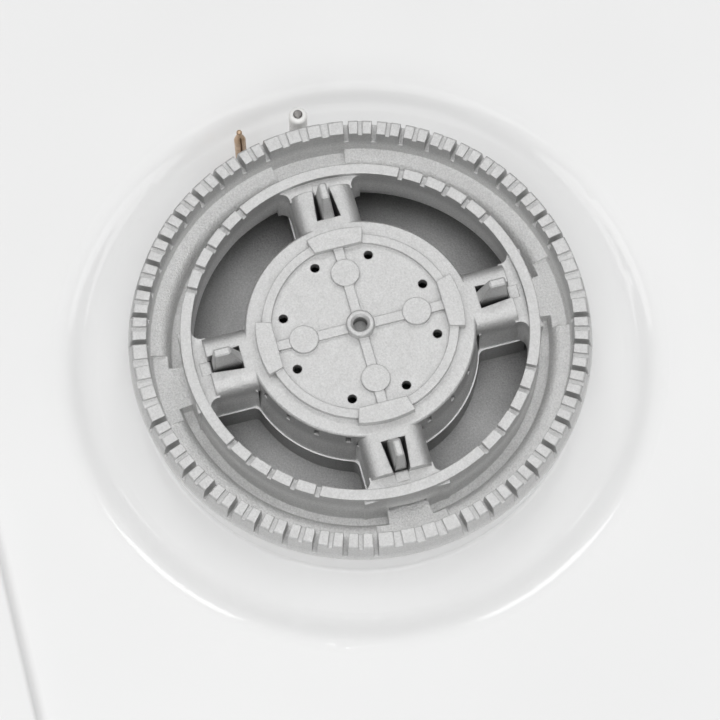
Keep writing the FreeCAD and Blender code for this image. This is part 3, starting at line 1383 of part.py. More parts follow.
def spring_wire(turns, radius, low, high, steps=4):
    """A helix as pairs of arcs, a pair for each quarter turn, each pair keeping the helix's direction."""
    count = int(round(turns * steps))
    rise = (high - low) / (turns * 2 * math.pi)

    def spot(angle):
        return V(radius * math.cos(angle), radius * math.sin(angle), low + rise * angle)

    def heading(angle):
        return V(-radius * math.sin(angle), radius * math.cos(angle), rise).normalize()

    def arc(start, direction, end):
        chord = end - start
        side = chord - direction * chord.dot(direction)
        size = chord.Length ** 2 / (2 * side.Length)
        centre = start + side.normalize() * size
        middle = (start + end) * 0.5 - centre
        return Part.Arc(start, centre + middle.normalize() * size, end).toShape()

    edges = []
    for index in range(count):
        here, there = [2 * math.pi * (index + shift) / steps for shift in (0, 1)]
        start, end = spot(here), spot(there)
        first, last = heading(here), heading(there)
        gap = end - start
        both = first + last
        spread = 2 * (1 - first.dot(last))
        reach = (-gap.dot(both) + math.sqrt(gap.dot(both) ** 2 + spread * gap.dot(gap))) / spread
        meet = (start + first * reach + end - last * reach) * 0.5
        back = arc(end, last * -1, meet)
        halfway = back.valueAt((back.FirstParameter + back.LastParameter) / 2)
        edges.append(arc(start, first, meet))
        edges.append(Part.Arc(meet, halfway, end).toShape())
    return Part.Wire(edges), spot(0), heading(0)


def self_gap(path, thickness, apart, step=0.25):
    """The least gap between stretches of a round wire that lie further apart along it than a length."""
    count = int(path.Length / step)
    spots = path.discretize(Number=count)
    skip = int(math.ceil(apart / path.Length * count))
    return min((spots[index] - later).Length for index in range(count - skip)
               for later in spots[index + skip:]) - thickness


def make_spindle():
    spindle = body("spindle", "0", "knob_y", "0")
    shaft = sketch(spindle, "shaft_section", "XZ_Plane")
    outline(shaft, [("0", "shaft_down"),
                    ("spindle_radius", "shaft_down"),
                    ("spindle_radius", "washer_up"),
                    ("spindle_collar_radius", "washer_up"),
                    ("spindle_collar_radius", "collar_up"),
                    ("spindle_radius", "collar_up"),
                    ("spindle_radius", "spindle_up"),
                    ("0", "spindle_up")])
    revolve(spindle, shaft)
    blade = sketch(spindle, "blade_plan", "XY_Plane", "shaft_down")
    rectangle(blade, "-blade_width / 2", "blade_width / 2", "-blade_thickness / 2", "blade_thickness / 2")
    pad(spindle, blade, "blade_length", True)
    flat = sketch(spindle, "spindle_flat", "XY_Plane", "spindle_up")
    rectangle(flat, "spindle_radius - spindle_flat", "spindle_radius + cut_over",
              "-spindle_radius", "spindle_radius")
    pocket(spindle, flat, "knob_socket")
    node(spindle, "spindle")

    washer = body("spindle_washer", "0", "knob_y", "washer_down")
    plan = sketch(washer, "washer_plan", "XY_Plane")
    ring(plan, "0", "0", "washer_radius")
    ring(plan, "0", "0", "spindle_radius + running_gap")
    pad(washer, plan, "washer")
    tab = sketch(washer, "washer_tab", "XY_Plane")
    rectangle(tab, "-washer_tab_width / 2", "washer_tab_width / 2", "-washer_tab_reach",
              "cut_over - washer_radius")
    pad(washer, tab, "washer")
    node(washer, "spindle_washer")

    half_wire = value("spring_wire") / 2
    play = value("thread_play")
    low = value("cover_up") + half_wire + play
    high = value("washer_down") - half_wire - play
    path, start, heading = spring_wire(value("spring_turns"), value("spring_radius"), low, high)
    section = Part.Wire([Part.Circle(start, heading, half_wire).toShape()])
    coil = doc.addObject("Part::Feature", "coil")
    coil.Shape = path.makePipeShell([section], True, False)
    place(coil, "0", "knob_y", "0")
    half_turn = math.pi * value("spring_radius")
    print("spindle_spring: least gap to itself %.2f mm" % self_gap(path, 2 * half_wire, half_turn))
    node(coil, "spindle_spring")


def make_knob():
    knob = body("knob", "0", "knob_y", "knob_down")
    skirt = sketch(knob, "knob_section", "XZ_Plane")
    outline(skirt, [("0", "0"),
                    ("knob_radius", "0"),
                    ("knob_radius - knob_round / 2", "knob_skirt - knob_round"),
                    ("knob_radius - knob_round * 1.5", "knob_skirt", "knob_round"),
                    ("0", "knob_skirt")])
    revolve(knob, skirt)
    bar = sketch(knob, "knob_bar", "XY_Plane", "knob_skirt - cut_over")
    outline(bar, rounded("-knob_bar_width / 2", "knob_bar_width / 2", "-knob_bar_length / 2",
                         "knob_bar_length / 2", "knob_bar_width / 2 - cut_over"))
    grip = pad(knob, bar, "knob_height - knob_skirt + cut_over")
    top = value("knob_height")
    edges = ["Edge%d" % (index + 1) for index, edge in enumerate(grip.Shape.Edges)
             if abs(edge.BoundBox.ZMin - top) < 1e-3 and abs(edge.BoundBox.ZMax - top) < 1e-3]
    soft = knob.newObject("PartDesign::Fillet", "knob_soft_edge")
    soft.Base = (grip, edges)
    bind(soft, Radius="knob_round")
    doc.recompute()
    hollow = sketch(knob, "knob_hollow", "XY_Plane")
    ring(hollow, "0", "0", "knob_hollow_radius")
    pocket(knob, hollow, "knob_hollow", True)
    socket = sketch(knob, "knob_socket", "XY_Plane")
    bore = "(spindle_radius + running_gap)"
    flat = "(spindle_radius - spindle_flat + running_gap)"
    half = "sqrt(%s ^ 2 - %s ^ 2)" % (bore, flat)
    outline(socket, [(flat, "-" + half, bore), (flat, half), ("-" + bore, "0", bore)])
    pocket(knob, socket, "knob_socket + running_gap", True)
    node(knob, "knob")

    seal = body("knob_seal", "0", "knob_y", "0")
    section = sketch(seal, "seal_section", "XZ_Plane")
    bore = "spindle_radius + seal_bore_gap"
    neck = "seal_hole_radius - running_gap"
    outline(section, [(bore, "border_under - seal_lip"),
                      ("seal_lip_radius", "border_under - seal_lip"),
                      ("seal_lip_radius", "border_under"),
                      (neck, "border_under"),
                      (neck, "border_top"),
                      ("seal_flange_radius", "border_top"),
                      ("seal_flange_radius - seal_flange / 2", "border_top + seal_flange"),
                      (bore, "border_top + seal_flange")])
    revolve(seal, section)
    node(seal, "knob_seal")


# Ignition: push switch beside the spindle, spark generator and its battery


def make_ignition():
    switch = centred_block("switch_case", ("switch_width", "switch_thickness", "switch_height"),
                           ("0", "switch_y", "switch_up - switch_height"))
    well = rod("switch_well", "plunger_radius + running_gap", "plunger_bore",
               ("0", "switch_y", "switch_up - plunger_bore"))
    node(cut("switch", switch, well), "ignition_switch")
    node(rod("plunger", "plunger_radius", "plunger_length",
             ("0", "switch_y", "plunger_up - plunger_length")), "switch_plunger")

    case = body("generator_case", "generator_x", "generator_y", "box_sheet")
    plan = sketch(case, "generator_plan", "XY_Plane")
    outline(plan, rounded("-generator_width / 2", "generator_width / 2", "-generator_length / 2",
                          "generator_length / 2", "generator_round"))
    pad(case, plan, "generator_height")
    terminal = rod("terminal", "terminal_radius", "terminal_length + cut_over",
                   ("generator_x", "generator_y + generator_length / 2 - cut_over", "terminal_height"), "+y")
    node(fuse("generator", case, terminal), "spark_generator")

    holder = body("battery_tube", "battery_x", "battery_y", "0")
    section = sketch(holder, "tube_section", "XZ_Plane")
    outline(section, [("bore_radius", "box_sheet"),
                      ("tube_foot_radius", "box_sheet"),
                      ("tube_foot_radius", "box_sheet + tube_foot"),
                      ("bore_radius + tube_wall", "box_sheet + tube_foot"),
                      ("bore_radius + tube_wall", "tube_up"),
                      ("0", "tube_up"),
                      ("0", "tube_up - tube_wall"),
                      ("bore_radius", "tube_up - tube_wall")])
    revolve(holder, section)
    node(holder, "battery_tube")
    axis = ("battery_x", "battery_y")
    cell = fuse("cell", rod("cell_can", "cell_radius", "cell_length - cell_nub", axis + ("cell_down",)),
                rod("cell_tip", "cell_nub_radius", "cell_length", axis + ("cell_down",)))
    node(cell, "battery_cell")
    cap = rod("cap_plug", "bore_radius - running_gap", "cap_length", axis + ("cap_recess",))
    slot = centred_block("cap_slot", ("cap_slot_length", "cap_slot_width", "cap_slot_depth + cut_over"),
                         axis + ("cap_recess - cut_over",))
    node(cut("cap", cap, slot), "battery_cap")


# Gas inlet and pipes


def make_gas_way():
    inlet_at = ("gas_entry_x", "box_back - box_sheet", "gas_entry_height")
    flange = hexagon("inlet_flange", "gas_flange_flats", "gas_flange", inlet_at, "-y")
    shank = rod("inlet_shank", "gas_shank_radius", "box_sheet + locknut + gas_relief", inlet_at, "+y")
    thread = rod("inlet_thread", "gas_thread_radius", "gas_thread_length - locknut - gas_relief",
                 ("gas_entry_x", "box_back + locknut + gas_relief", "gas_entry_height"), "+y")
    stub = rod("inlet_stub_rod", "gas_stub_radius", "gas_flange + gas_stub", inlet_at, "-y")
    way = rod("inlet_way", "gas_bore_radius", "gas_flange + gas_stub + box_sheet + gas_thread_length",
              ("gas_entry_x", "stub_y", "gas_entry_height"), "+y")
    node(cut("inlet", fuse("inlet_blank", flange, shank, thread, stub), way), "gas_inlet")
    nut_at = ("gas_entry_x", "box_back", "gas_entry_height")
    node(nut("lock", "locknut_flats", "locknut", "gas_shank_radius", nut_at, "+y"), "inlet_locknut")

    supply_port = ("tap_port_spacing / 2", "port_y", "port_z")
    supply_stub = ("gas_entry_x", "stub_y", "gas_entry_height")
    tube("supply_pipe", [supply_stub, ("gas_entry_x", "port_y + supply_turn", "gas_entry_height"),
                         ("tap_port_spacing / 2", "port_y + pipe_run", "port_z"), supply_port],
         "supply_pipe_radius", "pipe_wall", value("pipe_bend"))
    nuts = [nut("supply_nut", "supply_nut_flats", "pipe_nut_length", "supply_pipe_radius", spot, along)
            for spot, along in ((supply_stub, "-y"), (supply_port, "+y"))]
    node(group("supply_ends", nuts), "supply_nuts")

    burner_port = ("-tap_port_spacing / 2", "port_y", "port_z")
    burner_stub = ("0", "cup_stub_y", "inlet_z")
    tube("gas_pipe", [burner_port, ("-tap_port_spacing / 2", "port_y + pipe_run", "port_z"),
                      ("0", "cup_stub_y - pipe_run", "inlet_z"), burner_stub],
         "gas_pipe_radius", "pipe_wall", value("pipe_bend"))
    nuts = [nut("gas_nut", "gas_nut_flats", "pipe_nut_length", "gas_pipe_radius", spot, along)
            for spot, along in ((burner_port, "+y"), (burner_stub, "-y"))]
    node(group("gas_ends", nuts), "pipe_nuts")


# Base box, what fastens it to the plate, and what clamps the hob in its worktop


LOUVRE_ROWS = (-2, -1, 0, 1, 2)


def make_base_box():
    box = body("base_box")
    plan = sketch(box, "box_plan", "XY_Plane")
    outline(plan, rounded("-box_width / 2", "box_width / 2", "box_front", "box_back", "box_corner"))
    pad(box, plan, "box_up")
    inside = sketch(box, "box_inside", "XY_Plane", "box_up")
    outline(inside, rounded("-wall_x", "wall_x", "box_front + box_sheet", "box_back - box_sheet",
                            "box_corner - box_sheet"))
    pocket(box, inside, "box_up - box_sheet")
    floor_cuts = sketch(box, "floor_cuts", "XY_Plane", "box_sheet")
    ring(floor_cuts, "battery_x", "battery_y", "bore_radius")
    for side in ("-", ""):
        for row in LOUVRE_ROWS:
            middle = "louvre_y + %d * louvre_pitch" % row
            rectangle(floor_cuts, "%slouvre_x - louvre_length / 2" % side,
                      "%slouvre_x + louvre_length / 2" % side,
                      middle + " - louvre_width / 2", middle + " + louvre_width / 2")
    pocket(box, floor_cuts, "box_sheet + cut_over")
    entry = sketch(box, "gas_entry", "XZ_Plane", "-box_back - cut_over")
    ring(entry, "gas_entry_x", "gas_entry_height", "gas_thread_radius + screw_play")
    pocket(box, entry, "box_sheet + 2 * cut_over", True)
    sides = sketch(box, "side_holes", "YZ_Plane", "box_width / 2 + cut_over")
    for spot in ("bracket_front_y", "bracket_back_y"):
        ring(sides, spot, "box_screw_z", "box_screw_radius + screw_play")
    for spot in ("clamp_front_y", "clamp_back_y"):
        ring(sides, spot, "clamp_z - clamp_screw_drop", "box_screw_radius + thread_play")
    pocket(box, sides, "box_width + 2 * cut_over")
    node(box, "base_box")


def make_box_fixings():
    brackets = []
    box_screws = []
    clamps = []
    clamp_screws = []
    for side, inward in (("-", "+x"), ("", "-x")):
        sign = -1 if side else 1
        for spot in ("bracket_front_y", "bracket_back_y"):
            start = spot + " - bracket_width / 2"
            leg_x = "wall_x - bracket_sheet" if sign > 0 else "-wall_x"
            foot_x = "wall_x - bracket_foot" if sign > 0 else "-wall_x"
            leg = block("leg", ("bracket_sheet", "bracket_width", "bracket_leg"),
                        (leg_x, start, "zone_under - bracket_leg"))
            foot = block("foot", ("bracket_foot", "bracket_width", "bracket_sheet"),
                         (foot_x, start, "zone_under - bracket_sheet"))
            seat = (side + "box_width / 2", spot, "box_screw_z")
            hole = rod("leg_hole", "box_screw_radius + thread_play", "2 * bracket_foot", seat, inward)
            brackets.append(cut("bracket", fuse("angle", leg, foot), hole))
            box_screws.append(screw("box_bolt", "box_screw_radius", "box_screw_length",
                                    "box_screw_head_radius", "box_screw_head", seat, inward))
        for spot in ("clamp_front_y", "clamp_back_y"):
            start = spot + " - clamp_width / 2"
            leg_x = "box_width / 2" if sign > 0 else "-box_width / 2 - clamp_sheet"
            arm_x = "box_width / 2" if sign > 0 else "-box_width / 2 - clamp_reach"
            leg = block("clamp_leg", ("clamp_sheet", "clamp_width", "clamp_leg"),
                        (leg_x, start, "clamp_z - clamp_leg"))
            arm = block("clamp_arm", ("clamp_reach", "clamp_width", "clamp_sheet"),
                        (arm_x, start, "clamp_z - clamp_sheet"))
            seat = (side + "(box_width / 2 + clamp_sheet)", spot, "clamp_z - clamp_screw_drop")
            hole = rod("clamp_hole", "box_screw_radius + screw_play", "clamp_sheet", seat, inward)
            clamps.append(cut("clamp", fuse("clamp_angle", leg, arm), hole))
            clamp_screws.append(screw("clamp_bolt", "box_screw_radius", "box_screw_length",
                                      "box_screw_head_radius", "box_screw_head", seat, inward))
    node(group("brackets", brackets), "plate_brackets")
    node(group("box_bolts", box_screws), "box_screws")
    node(group("clamps", clamps), "fixing_clamps")
    node(group("clamp_bolts", clamp_screws), "clamp_screws")

    strip = body("worktop_seal", "0", "0", "box_depth")
    plan = sketch(strip, "strip_plan", "XY_Plane")
    for inset in ("sheet + seal_inset", "sheet + seal_inset + seal_width"):
        outline(plan, rounded("-plate_width / 2 + " + inset, "plate_width / 2 - (%s)" % inset,
                              "-plate_depth / 2 + " + inset, "plate_depth / 2 - (%s)" % inset,
                              "plate_corner - (%s)" % inset))
    pad(strip, plan, "border_under - box_depth")
    node(strip, "worktop_seal")


# Leads inside the box: the thermocouple's copper capillary and the spark lead


def make_leads():
    sensor = ("probe_x", "probe_y")
    tube("thermocouple_lead", [sensor + ("head_top - probe_foot_drop",),
                               sensor + ("lead_floor + capillary_dip",),
                               ("probe_x + capillary_swing", "probe_y - capillary_run",
                                "lead_floor + capillary_rise"),
                               ("probe_x + capillary_cross", "(probe_y + knob_y) / 2", "lead_floor"),
                               ("-capillary_end", "knob_y + capillary_end", "lead_floor"),
                               ("0", "knob_y", "lead_floor"),
                               ("0", "knob_y", "magnet_down")], "capillary_radius")
    terminal_y = "generator_y + generator_length / 2 + terminal_length"
    spade_foot = "head_top - pin_foot_drop"
    tube("ignition_lead", [("electrode_x", "burner_y", spade_foot),
                           ("electrode_x", "burner_y", spade_foot + " - spark_lead_dip"),
                           ("electrode_x - spark_lead_run", "burner_y - spark_lead_run", "terminal_height"),
                           ("generator_x", terminal_y + " + spark_lead_end", "terminal_height"),
                           ("generator_x", terminal_y, "terminal_height")], "ignition_lead_radius")


make_top_plate()
make_burner_head()
make_burner_cup()
make_burner_fixings()
make_electrode()
make_thermocouple()
make_tap()
make_flame_failure_valve()
make_spindle()
make_knob()
make_ignition()
make_gas_way()
make_base_box()
make_box_fixings()
make_leads()

doc.recompute()
for thing in doc.Objects:
    if "Invalid" in thing.State or "Error" in thing.State:
        raise RuntimeError("%s failed: %s" % (thing.Label, thing.State))
for thing in NODES:
    if thing.Shape.isNull() or not thing.Shape.isValid():
        raise RuntimeError(thing.Label + " has no sound shape")

os.makedirs("parts", exist_ok=True)
for thing in NODES:
    thing.Shape.exportStep("parts/%s.step" % thing.Label)
    print("%s: %d solids, %.1f mm3" % (thing.Label, len(thing.Shape.Solids), thing.Shape.Volume))
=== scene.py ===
import math
import bpy
import bmesh
from mathutils import Matrix, Vector


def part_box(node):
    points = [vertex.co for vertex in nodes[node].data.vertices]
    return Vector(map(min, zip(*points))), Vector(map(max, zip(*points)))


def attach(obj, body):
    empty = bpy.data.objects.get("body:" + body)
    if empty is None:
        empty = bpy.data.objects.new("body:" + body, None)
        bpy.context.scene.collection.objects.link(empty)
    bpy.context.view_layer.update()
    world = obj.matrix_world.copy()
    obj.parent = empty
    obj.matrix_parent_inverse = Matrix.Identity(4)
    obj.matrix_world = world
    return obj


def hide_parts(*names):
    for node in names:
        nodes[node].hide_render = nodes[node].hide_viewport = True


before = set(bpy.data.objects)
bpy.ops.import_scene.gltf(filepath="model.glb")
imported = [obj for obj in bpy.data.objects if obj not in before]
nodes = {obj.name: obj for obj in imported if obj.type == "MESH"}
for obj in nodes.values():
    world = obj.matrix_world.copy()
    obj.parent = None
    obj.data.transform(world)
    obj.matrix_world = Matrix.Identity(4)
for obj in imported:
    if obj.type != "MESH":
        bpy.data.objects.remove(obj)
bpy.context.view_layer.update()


# Base box: one drawn pan of galvanised steel sheet, open at the top, with louvres in its floor.
# The zinc has grown in flat crystals of slightly different greys, and the pan is left unpainted.
def new_finish(name):
    """A material with an empty surface, its shader and its place on the piece."""
    material = bpy.data.materials.new(name)
    material.use_nodes = True
    tree = material.node_tree
    tree.nodes.clear()
    output = tree.nodes.new("ShaderNodeOutputMaterial")
    shader = tree.nodes.new("ShaderNodeBsdfPrincipled")
    place = tree.nodes.new("ShaderNodeTexCoord")
    tree.links.new(shader.outputs["BSDF"], output.inputs["Surface"])
    return material, tree, shader, place.outputs["Object"]


def noise(tree, place, scale, detail=4.0, rough=0.55):
    """Cloudy variation over the piece."""
    texture = tree.nodes.new("ShaderNodeTexNoise")
    texture.inputs["Scale"].default_value = scale
    texture.inputs["Detail"].default_value = detail
    texture.inputs["Roughness"].default_value = rough
    tree.links.new(place, texture.inputs["Vector"])
    return texture.outputs["Fac"]


def ramp(tree, source, stops):
    """Turn a variation into colours."""
    band = tree.nodes.new("ShaderNodeValToRGB")
    while len(band.color_ramp.elements) < len(stops):
        band.color_ramp.elements.new(0.5)
    for element, (position, colour) in zip(band.color_ramp.elements, stops):
        element.position = position
        element.color = (*colour, 1.0)
    tree.links.new(source, band.inputs["Fac"])
    return band.outputs["Color"]


def tint(tree, shader, source, dark, light):
    """Let a variation run the colour of the piece from dark to light."""
    tree.links.new(ramp(tree, source, [(0.3, dark), (0.7, light)]), shader.inputs["Base Color"])


def spread(tree, source, low, high, start=0.3, end=0.7):
    """Turn a variation into numbers from low to high."""
    change = tree.nodes.new("ShaderNodeMapRange")
    change.inputs["From Min"].default_value = start
    change.inputs["From Max"].default_value = end
    change.inputs["To Min"].default_value = low
    change.inputs["To Max"].default_value = high
    tree.links.new(source, change.inputs["Value"])
    return change.outputs["Result"]


def bump(tree, shader, source, depth, strength=1.0, soft_edge=0.0):
    """Raise the surface by a variation, over edges rounded by a small radius."""
    relief = tree.nodes.new("ShaderNodeBump")
    relief.inputs["Strength"].default_value = strength
    relief.inputs["Distance"].default_value = depth
    tree.links.new(source, relief.inputs["Height"])
    if soft_edge:
        edge = tree.nodes.new("ShaderNodeBevel")
        edge.samples = 6
        edge.inputs["Radius"].default_value = soft_edge
        tree.links.new(edge.outputs["Normal"], relief.inputs["Normal"])
    tree.links.new(relief.outputs["Normal"], shader.inputs["Normal"])
    return relief


def painted_hollow_shade(tree, colour, reach, depth):
    """Darken a colour where the surface lies deep in a hollow, as painted shade."""
    opening = tree.nodes.new("ShaderNodeAmbientOcclusion")
    opening.samples = 8
    opening.inputs["Distance"].default_value = reach
    mix = tree.nodes.new("ShaderNodeMix")
    mix.data_type = "RGBA"
    mix.blend_type = "MULTIPLY"
    mix.inputs["Factor"].default_value = 1.0
    tree.links.new(colour, mix.inputs["A"])
    tree.links.new(ramp(tree, opening.outputs["AO"], [(0.05, (depth, depth, depth)), (0.5, (1.0, 1.0, 1.0))]),
                   mix.inputs["B"])
    return mix.outputs["Result"]


def blended(tree, share, first, second):
    """Go from one colour to another by a share from nought to one."""
    mix = tree.nodes.new("ShaderNodeMix")
    mix.data_type = "RGBA"
    tree.links.new(share, mix.inputs["Factor"])
    tree.links.new(first, mix.inputs["A"])
    tree.links.new(second, mix.inputs["B"])
    return mix.outputs["Result"]


def dress(material, *names):
    """Give CAD nodes a finish."""
    for name in names:
        mesh = nodes[name].data
        mesh.materials.clear()
        mesh.materials.append(material)


galvanised, tree, shader, place = new_finish("galvanised_sheet")
crystals = tree.nodes.new("ShaderNodeTexVoronoi")
crystals.inputs["Scale"].default_value = 160.0
tree.links.new(place, crystals.inputs["Vector"])
tone = tree.nodes.new("ShaderNodeSeparateColor")
tree.links.new(crystals.outputs["Color"], tone.inputs["Color"])
tree.links.new(ramp(tree, tone.outputs["Red"], [(0.0, (0.46, 0.47, 0.48)), (1.0, (0.60, 0.61, 0.62))]),
               shader.inputs["Base Color"])
tree.links.new(spread(tree, tone.outputs["Green"], 0.30, 0.48, 0.0, 1.0), shader.inputs["Roughness"])
shader.inputs["Metallic"].default_value = 1.0
bump(tree, shader, noise(tree, place, 900.0), 0.00003, 0.4, 0.0006)
dress(galvanised, "base_box")


# Brackets, clamps and screws: bent strips and pan-headed screws of zinc-plated steel.
# The brackets are welded under the plate, and the clamps pull the hob down on its worktop.
zinc, tree, shader, place = new_finish("zinc_plate")
cloud = noise(tree, place, 140.0)
tint(tree, shader, cloud, (0.50, 0.51, 0.52), (0.66, 0.67, 0.68))
tree.links.new(spread(tree, cloud, 0.26, 0.42), shader.inputs["Roughness"])
shader.inputs["Metallic"].default_value = 1.0
bump(tree, shader, noise(tree, place, 2200.0), 0.00002, 0.5, 0.0003)
dress(zinc, "plate_brackets", "fixing_clamps", "weld_studs", "cup_nuts", "electrode_clip", "clip_screw",
      "tap_cover", "tap_bridge", "tap_screws", "spindle", "spindle_washer", "inlet_locknut",
      "box_screws", "clamp_screws")


# Screw heads: the eight pan-headed screws in the sides of the box, each with a cross recess.
# Four hold the brackets and four the clamps, and all turn in from outside.
def add_node(group, kind, **inputs):
    """A node of a geometry tree, with numbers set or sockets linked on its inputs by name."""
    made = group.nodes.new(kind)
    for name, source in inputs.items():
        socket = made.inputs[name.replace("_", " ")]
        if isinstance(source, bpy.types.NodeSocket):
            group.links.new(source, socket)
        else:
            socket.default_value = source
    return made


def input_socket(group, name, kind, default):
    """A size of a geometry tree that can be set from outside."""
    socket = group.interface.new_socket(name, in_out="INPUT", socket_type=kind)
    socket.default_value = default
    return socket


pan_heads = bpy.data.node_groups.new("pan_heads", "GeometryNodeTree")
pan_heads.interface.new_socket("Geometry", in_out="INPUT", socket_type="NodeSocketGeometry")
pan_heads.interface.new_socket("Geometry", in_out="OUTPUT", socket_type="NodeSocketGeometry")
input_socket(pan_heads, "Head Radius", "NodeSocketFloat", 0.0036)
input_socket(pan_heads, "Head Height", "NodeSocketFloat", 0.0022)
input_socket(pan_heads, "Shank Radius", "NodeSocketFloat", 0.00195)
input_socket(pan_heads, "Shank Length", "NodeSocketFloat", 0.007)
input_socket(pan_heads, "Recess Width", "NodeSocketFloat", 0.0011)
given = pan_heads.nodes.new("NodeGroupInput").outputs


def sum_of(group, operation, first, second):
    """The result of one operation on two numbers of a geometry tree."""
    made = group.nodes.new("ShaderNodeMath")
    made.operation = operation
    for socket, source in zip(made.inputs, (first, second)):
        if isinstance(source, bpy.types.NodeSocket):
            group.links.new(source, socket)
        else:
            socket.default_value = source
    return made.outputs[0]


def lifted(group, geometry, height):
    """Move a shape up by a height."""
    offset = add_node(group, "ShaderNodeCombineXYZ", Z=height)
    moved = add_node(group, "GeometryNodeTransform", Geometry=geometry, Translation=offset.outputs[0])
    return moved.outputs[0]


crown_share = 0.66
shank_overlap = 0.00001
half_head = sum_of(pan_heads, "MULTIPLY", given["Head Height"], 0.5)
rim = add_node(pan_heads, "GeometryNodeMeshCylinder", Vertices=40, Radius=given["Head Radius"],
               Depth=half_head)
crown = add_node(pan_heads, "GeometryNodeMeshCone", Vertices=40, Radius_Bottom=given["Head Radius"],
                 Radius_Top=sum_of(pan_heads, "MULTIPLY", given["Head Radius"], crown_share),
                 Depth=half_head)
shank = add_node(pan_heads, "GeometryNodeMeshCylinder", Vertices=24, Radius=given["Shank Radius"],
                 Depth=given["Shank Length"])
half_shank = sum_of(pan_heads, "MULTIPLY", given["Shank Length"], -0.5)
shank_middle = sum_of(pan_heads, "ADD", half_shank, shank_overlap)
rim_middle = sum_of(pan_heads, "MULTIPLY", half_head, 0.5)
solid = pan_heads.nodes.new("GeometryNodeMeshBoolean")
solid.operation = "UNION"
for form, middle in ((rim, rim_middle), (crown, half_head), (shank, shank_middle)):
    pan_heads.links.new(lifted(pan_heads, form.outputs["Mesh"], middle), solid.inputs["Mesh 2"])
cross = pan_heads.nodes.new("GeometryNodeMeshBoolean")
cross.operation = "DIFFERENCE"
pan_heads.links.new(solid.outputs["Mesh"], cross.inputs["Mesh 1"])
for along, across in (("X", "Y"), ("Y", "X")):
    size = add_node(pan_heads, "ShaderNodeCombineXYZ", Z=given["Head Height"],
                    **{along: given["Head Radius"], across: given["Recess Width"]})
    bar = add_node(pan_heads, "GeometryNodeMeshCube", Size=size.outputs[0])
    sunk = lifted(pan_heads, bar.outputs["Mesh"], given["Head Height"])
    pan_heads.links.new(sunk, cross.inputs["Mesh 2"])
aim = add_node(pan_heads, "GeometryNodeInputNamedAttribute", Name="turn")
aim.data_type = "FLOAT_VECTOR"
points = add_node(pan_heads, "GeometryNodeMeshToPoints", Mesh=given["Geometry"])
placed = add_node(pan_heads, "GeometryNodeInstanceOnPoints", Points=points.outputs[0],
                  Instance=cross.outputs["Mesh"], Rotation=aim.outputs["Attribute"])
real = add_node(pan_heads, "GeometryNodeRealizeInstances", Geometry=placed.outputs[0])
finished = add_node(pan_heads, "GeometryNodeSetMaterial", Geometry=real.outputs[0], Material=zinc)
result = pan_heads.nodes.new("NodeGroupOutput")
pan_heads.links.new(finished.outputs[0], result.inputs[0])


def grown(name, seed_mesh, group):
    """A plain mesh grown from points by a geometry tree."""
    seed = bpy.data.objects.new(name + "_seed", seed_mesh)
    bpy.context.scene.collection.objects.link(seed)
    growth = seed.modifiers.new("growth", "NODES")
    growth.node_group = group
    shape = bpy.data.meshes.new_from_object(seed.evaluated_get(bpy.context.evaluated_depsgraph_get()))
    bpy.data.objects.remove(seed)
    piece = bpy.data.objects.new(name, shape)
    bpy.context.scene.collection.objects.link(piece)
    return piece


box_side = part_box("base_box")[1].x
clamp_thickness = 0.0015
bracket_seat = (box_side, 0.0588)
clamp_seat = (box_side + clamp_thickness, 0.0280)
last_twist = 2.1
seats = []
turns = []
screw_rows = ((-0.060, bracket_seat), (0.110, bracket_seat), (-0.115, clamp_seat), (0.060, clamp_seat))
for side in (-1, 1):
    for y, (x, z) in screw_rows:
        seats.append((side * x, y, z))
        turns.append((last_twist * y, side * math.pi / 2, 0.0))
seat_mesh = bpy.data.meshes.new("screw_seats")
seat_mesh.from_pydata(seats, [], [])
for point, angles in zip(seat_mesh.attributes.new("turn", "FLOAT_VECTOR", "POINT").data, turns):
    point.vector = angles
screws = grown("side_screws", seat_mesh, pan_heads)
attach(screws, "hob")
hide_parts("box_screws", "clamp_screws")


# Sealing strip and knob seal: soft black silicone foam under the rim and a moulded lip round the spindle.
# Both are matt, with a fine open grain.
silicone, tree, shader, place = new_finish("black_silicone")
tint(tree, shader, noise(tree, place, 300.0), (0.030, 0.030, 0.031), (0.055, 0.055, 0.056))
tree.links.new(spread(tree, noise(tree, place, 90.0), 0.62, 0.80), shader.inputs["Roughness"])
bump(tree, shader, noise(tree, place, 2500.0, 6.0), 0.00008, 0.6, 0.0005)
dress(silicone, "worktop_seal", "knob_seal")


# Nuts, injector, tap plug and magnet holder: small turned and milled brass fittings.
# They are left bare, and the metal has dulled a little from handling.
brass, tree, shader, place = new_finish("milled_brass")
tint(tree, shader, noise(tree, place, 160.0), (0.58, 0.42, 0.19), (0.74, 0.57, 0.30))
tree.links.new(spread(tree, noise(tree, place, 700.0), 0.22, 0.38), shader.inputs["Roughness"])
shader.inputs["Metallic"].default_value = 1.0
bump(tree, shader, noise(tree, place, 1800.0), 0.00003, 0.5, 0.0003)
dress(brass, "injector", "thermocouple_nut", "tap_plug", "magnet_unit", "lead_nut", "supply_nuts",
      "pipe_nuts")


# Gas inlet: one brass turning with a hexagon flange inside the box and a half-inch gas thread behind it.
# The thread is cut with fourteen turns to the inch and chamfered at its open end.
inlet_low, inlet_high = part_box("gas_inlet")
inlet_x = (inlet_low.x + inlet_high.x) / 2
inlet_z = (inlet_low.z + inlet_high.z) / 2
stub_radius = 0.0070
flange_start = inlet_low.y + 0.0120
flange_end = flange_start + 0.0070
flange_flats = 0.0260
shank_radius = 0.0103
thread_start = inlet_high.y - 0.0185
crest_radius = 0.01048
thread_pitch = 0.0254 / 14
thread_depth = 0.00116
end_chamfer = 0.0014
inlet_bore = 0.0040
flank_slope = 2.6
crest_share = 0.15
columns = 72
thread_rows = 164


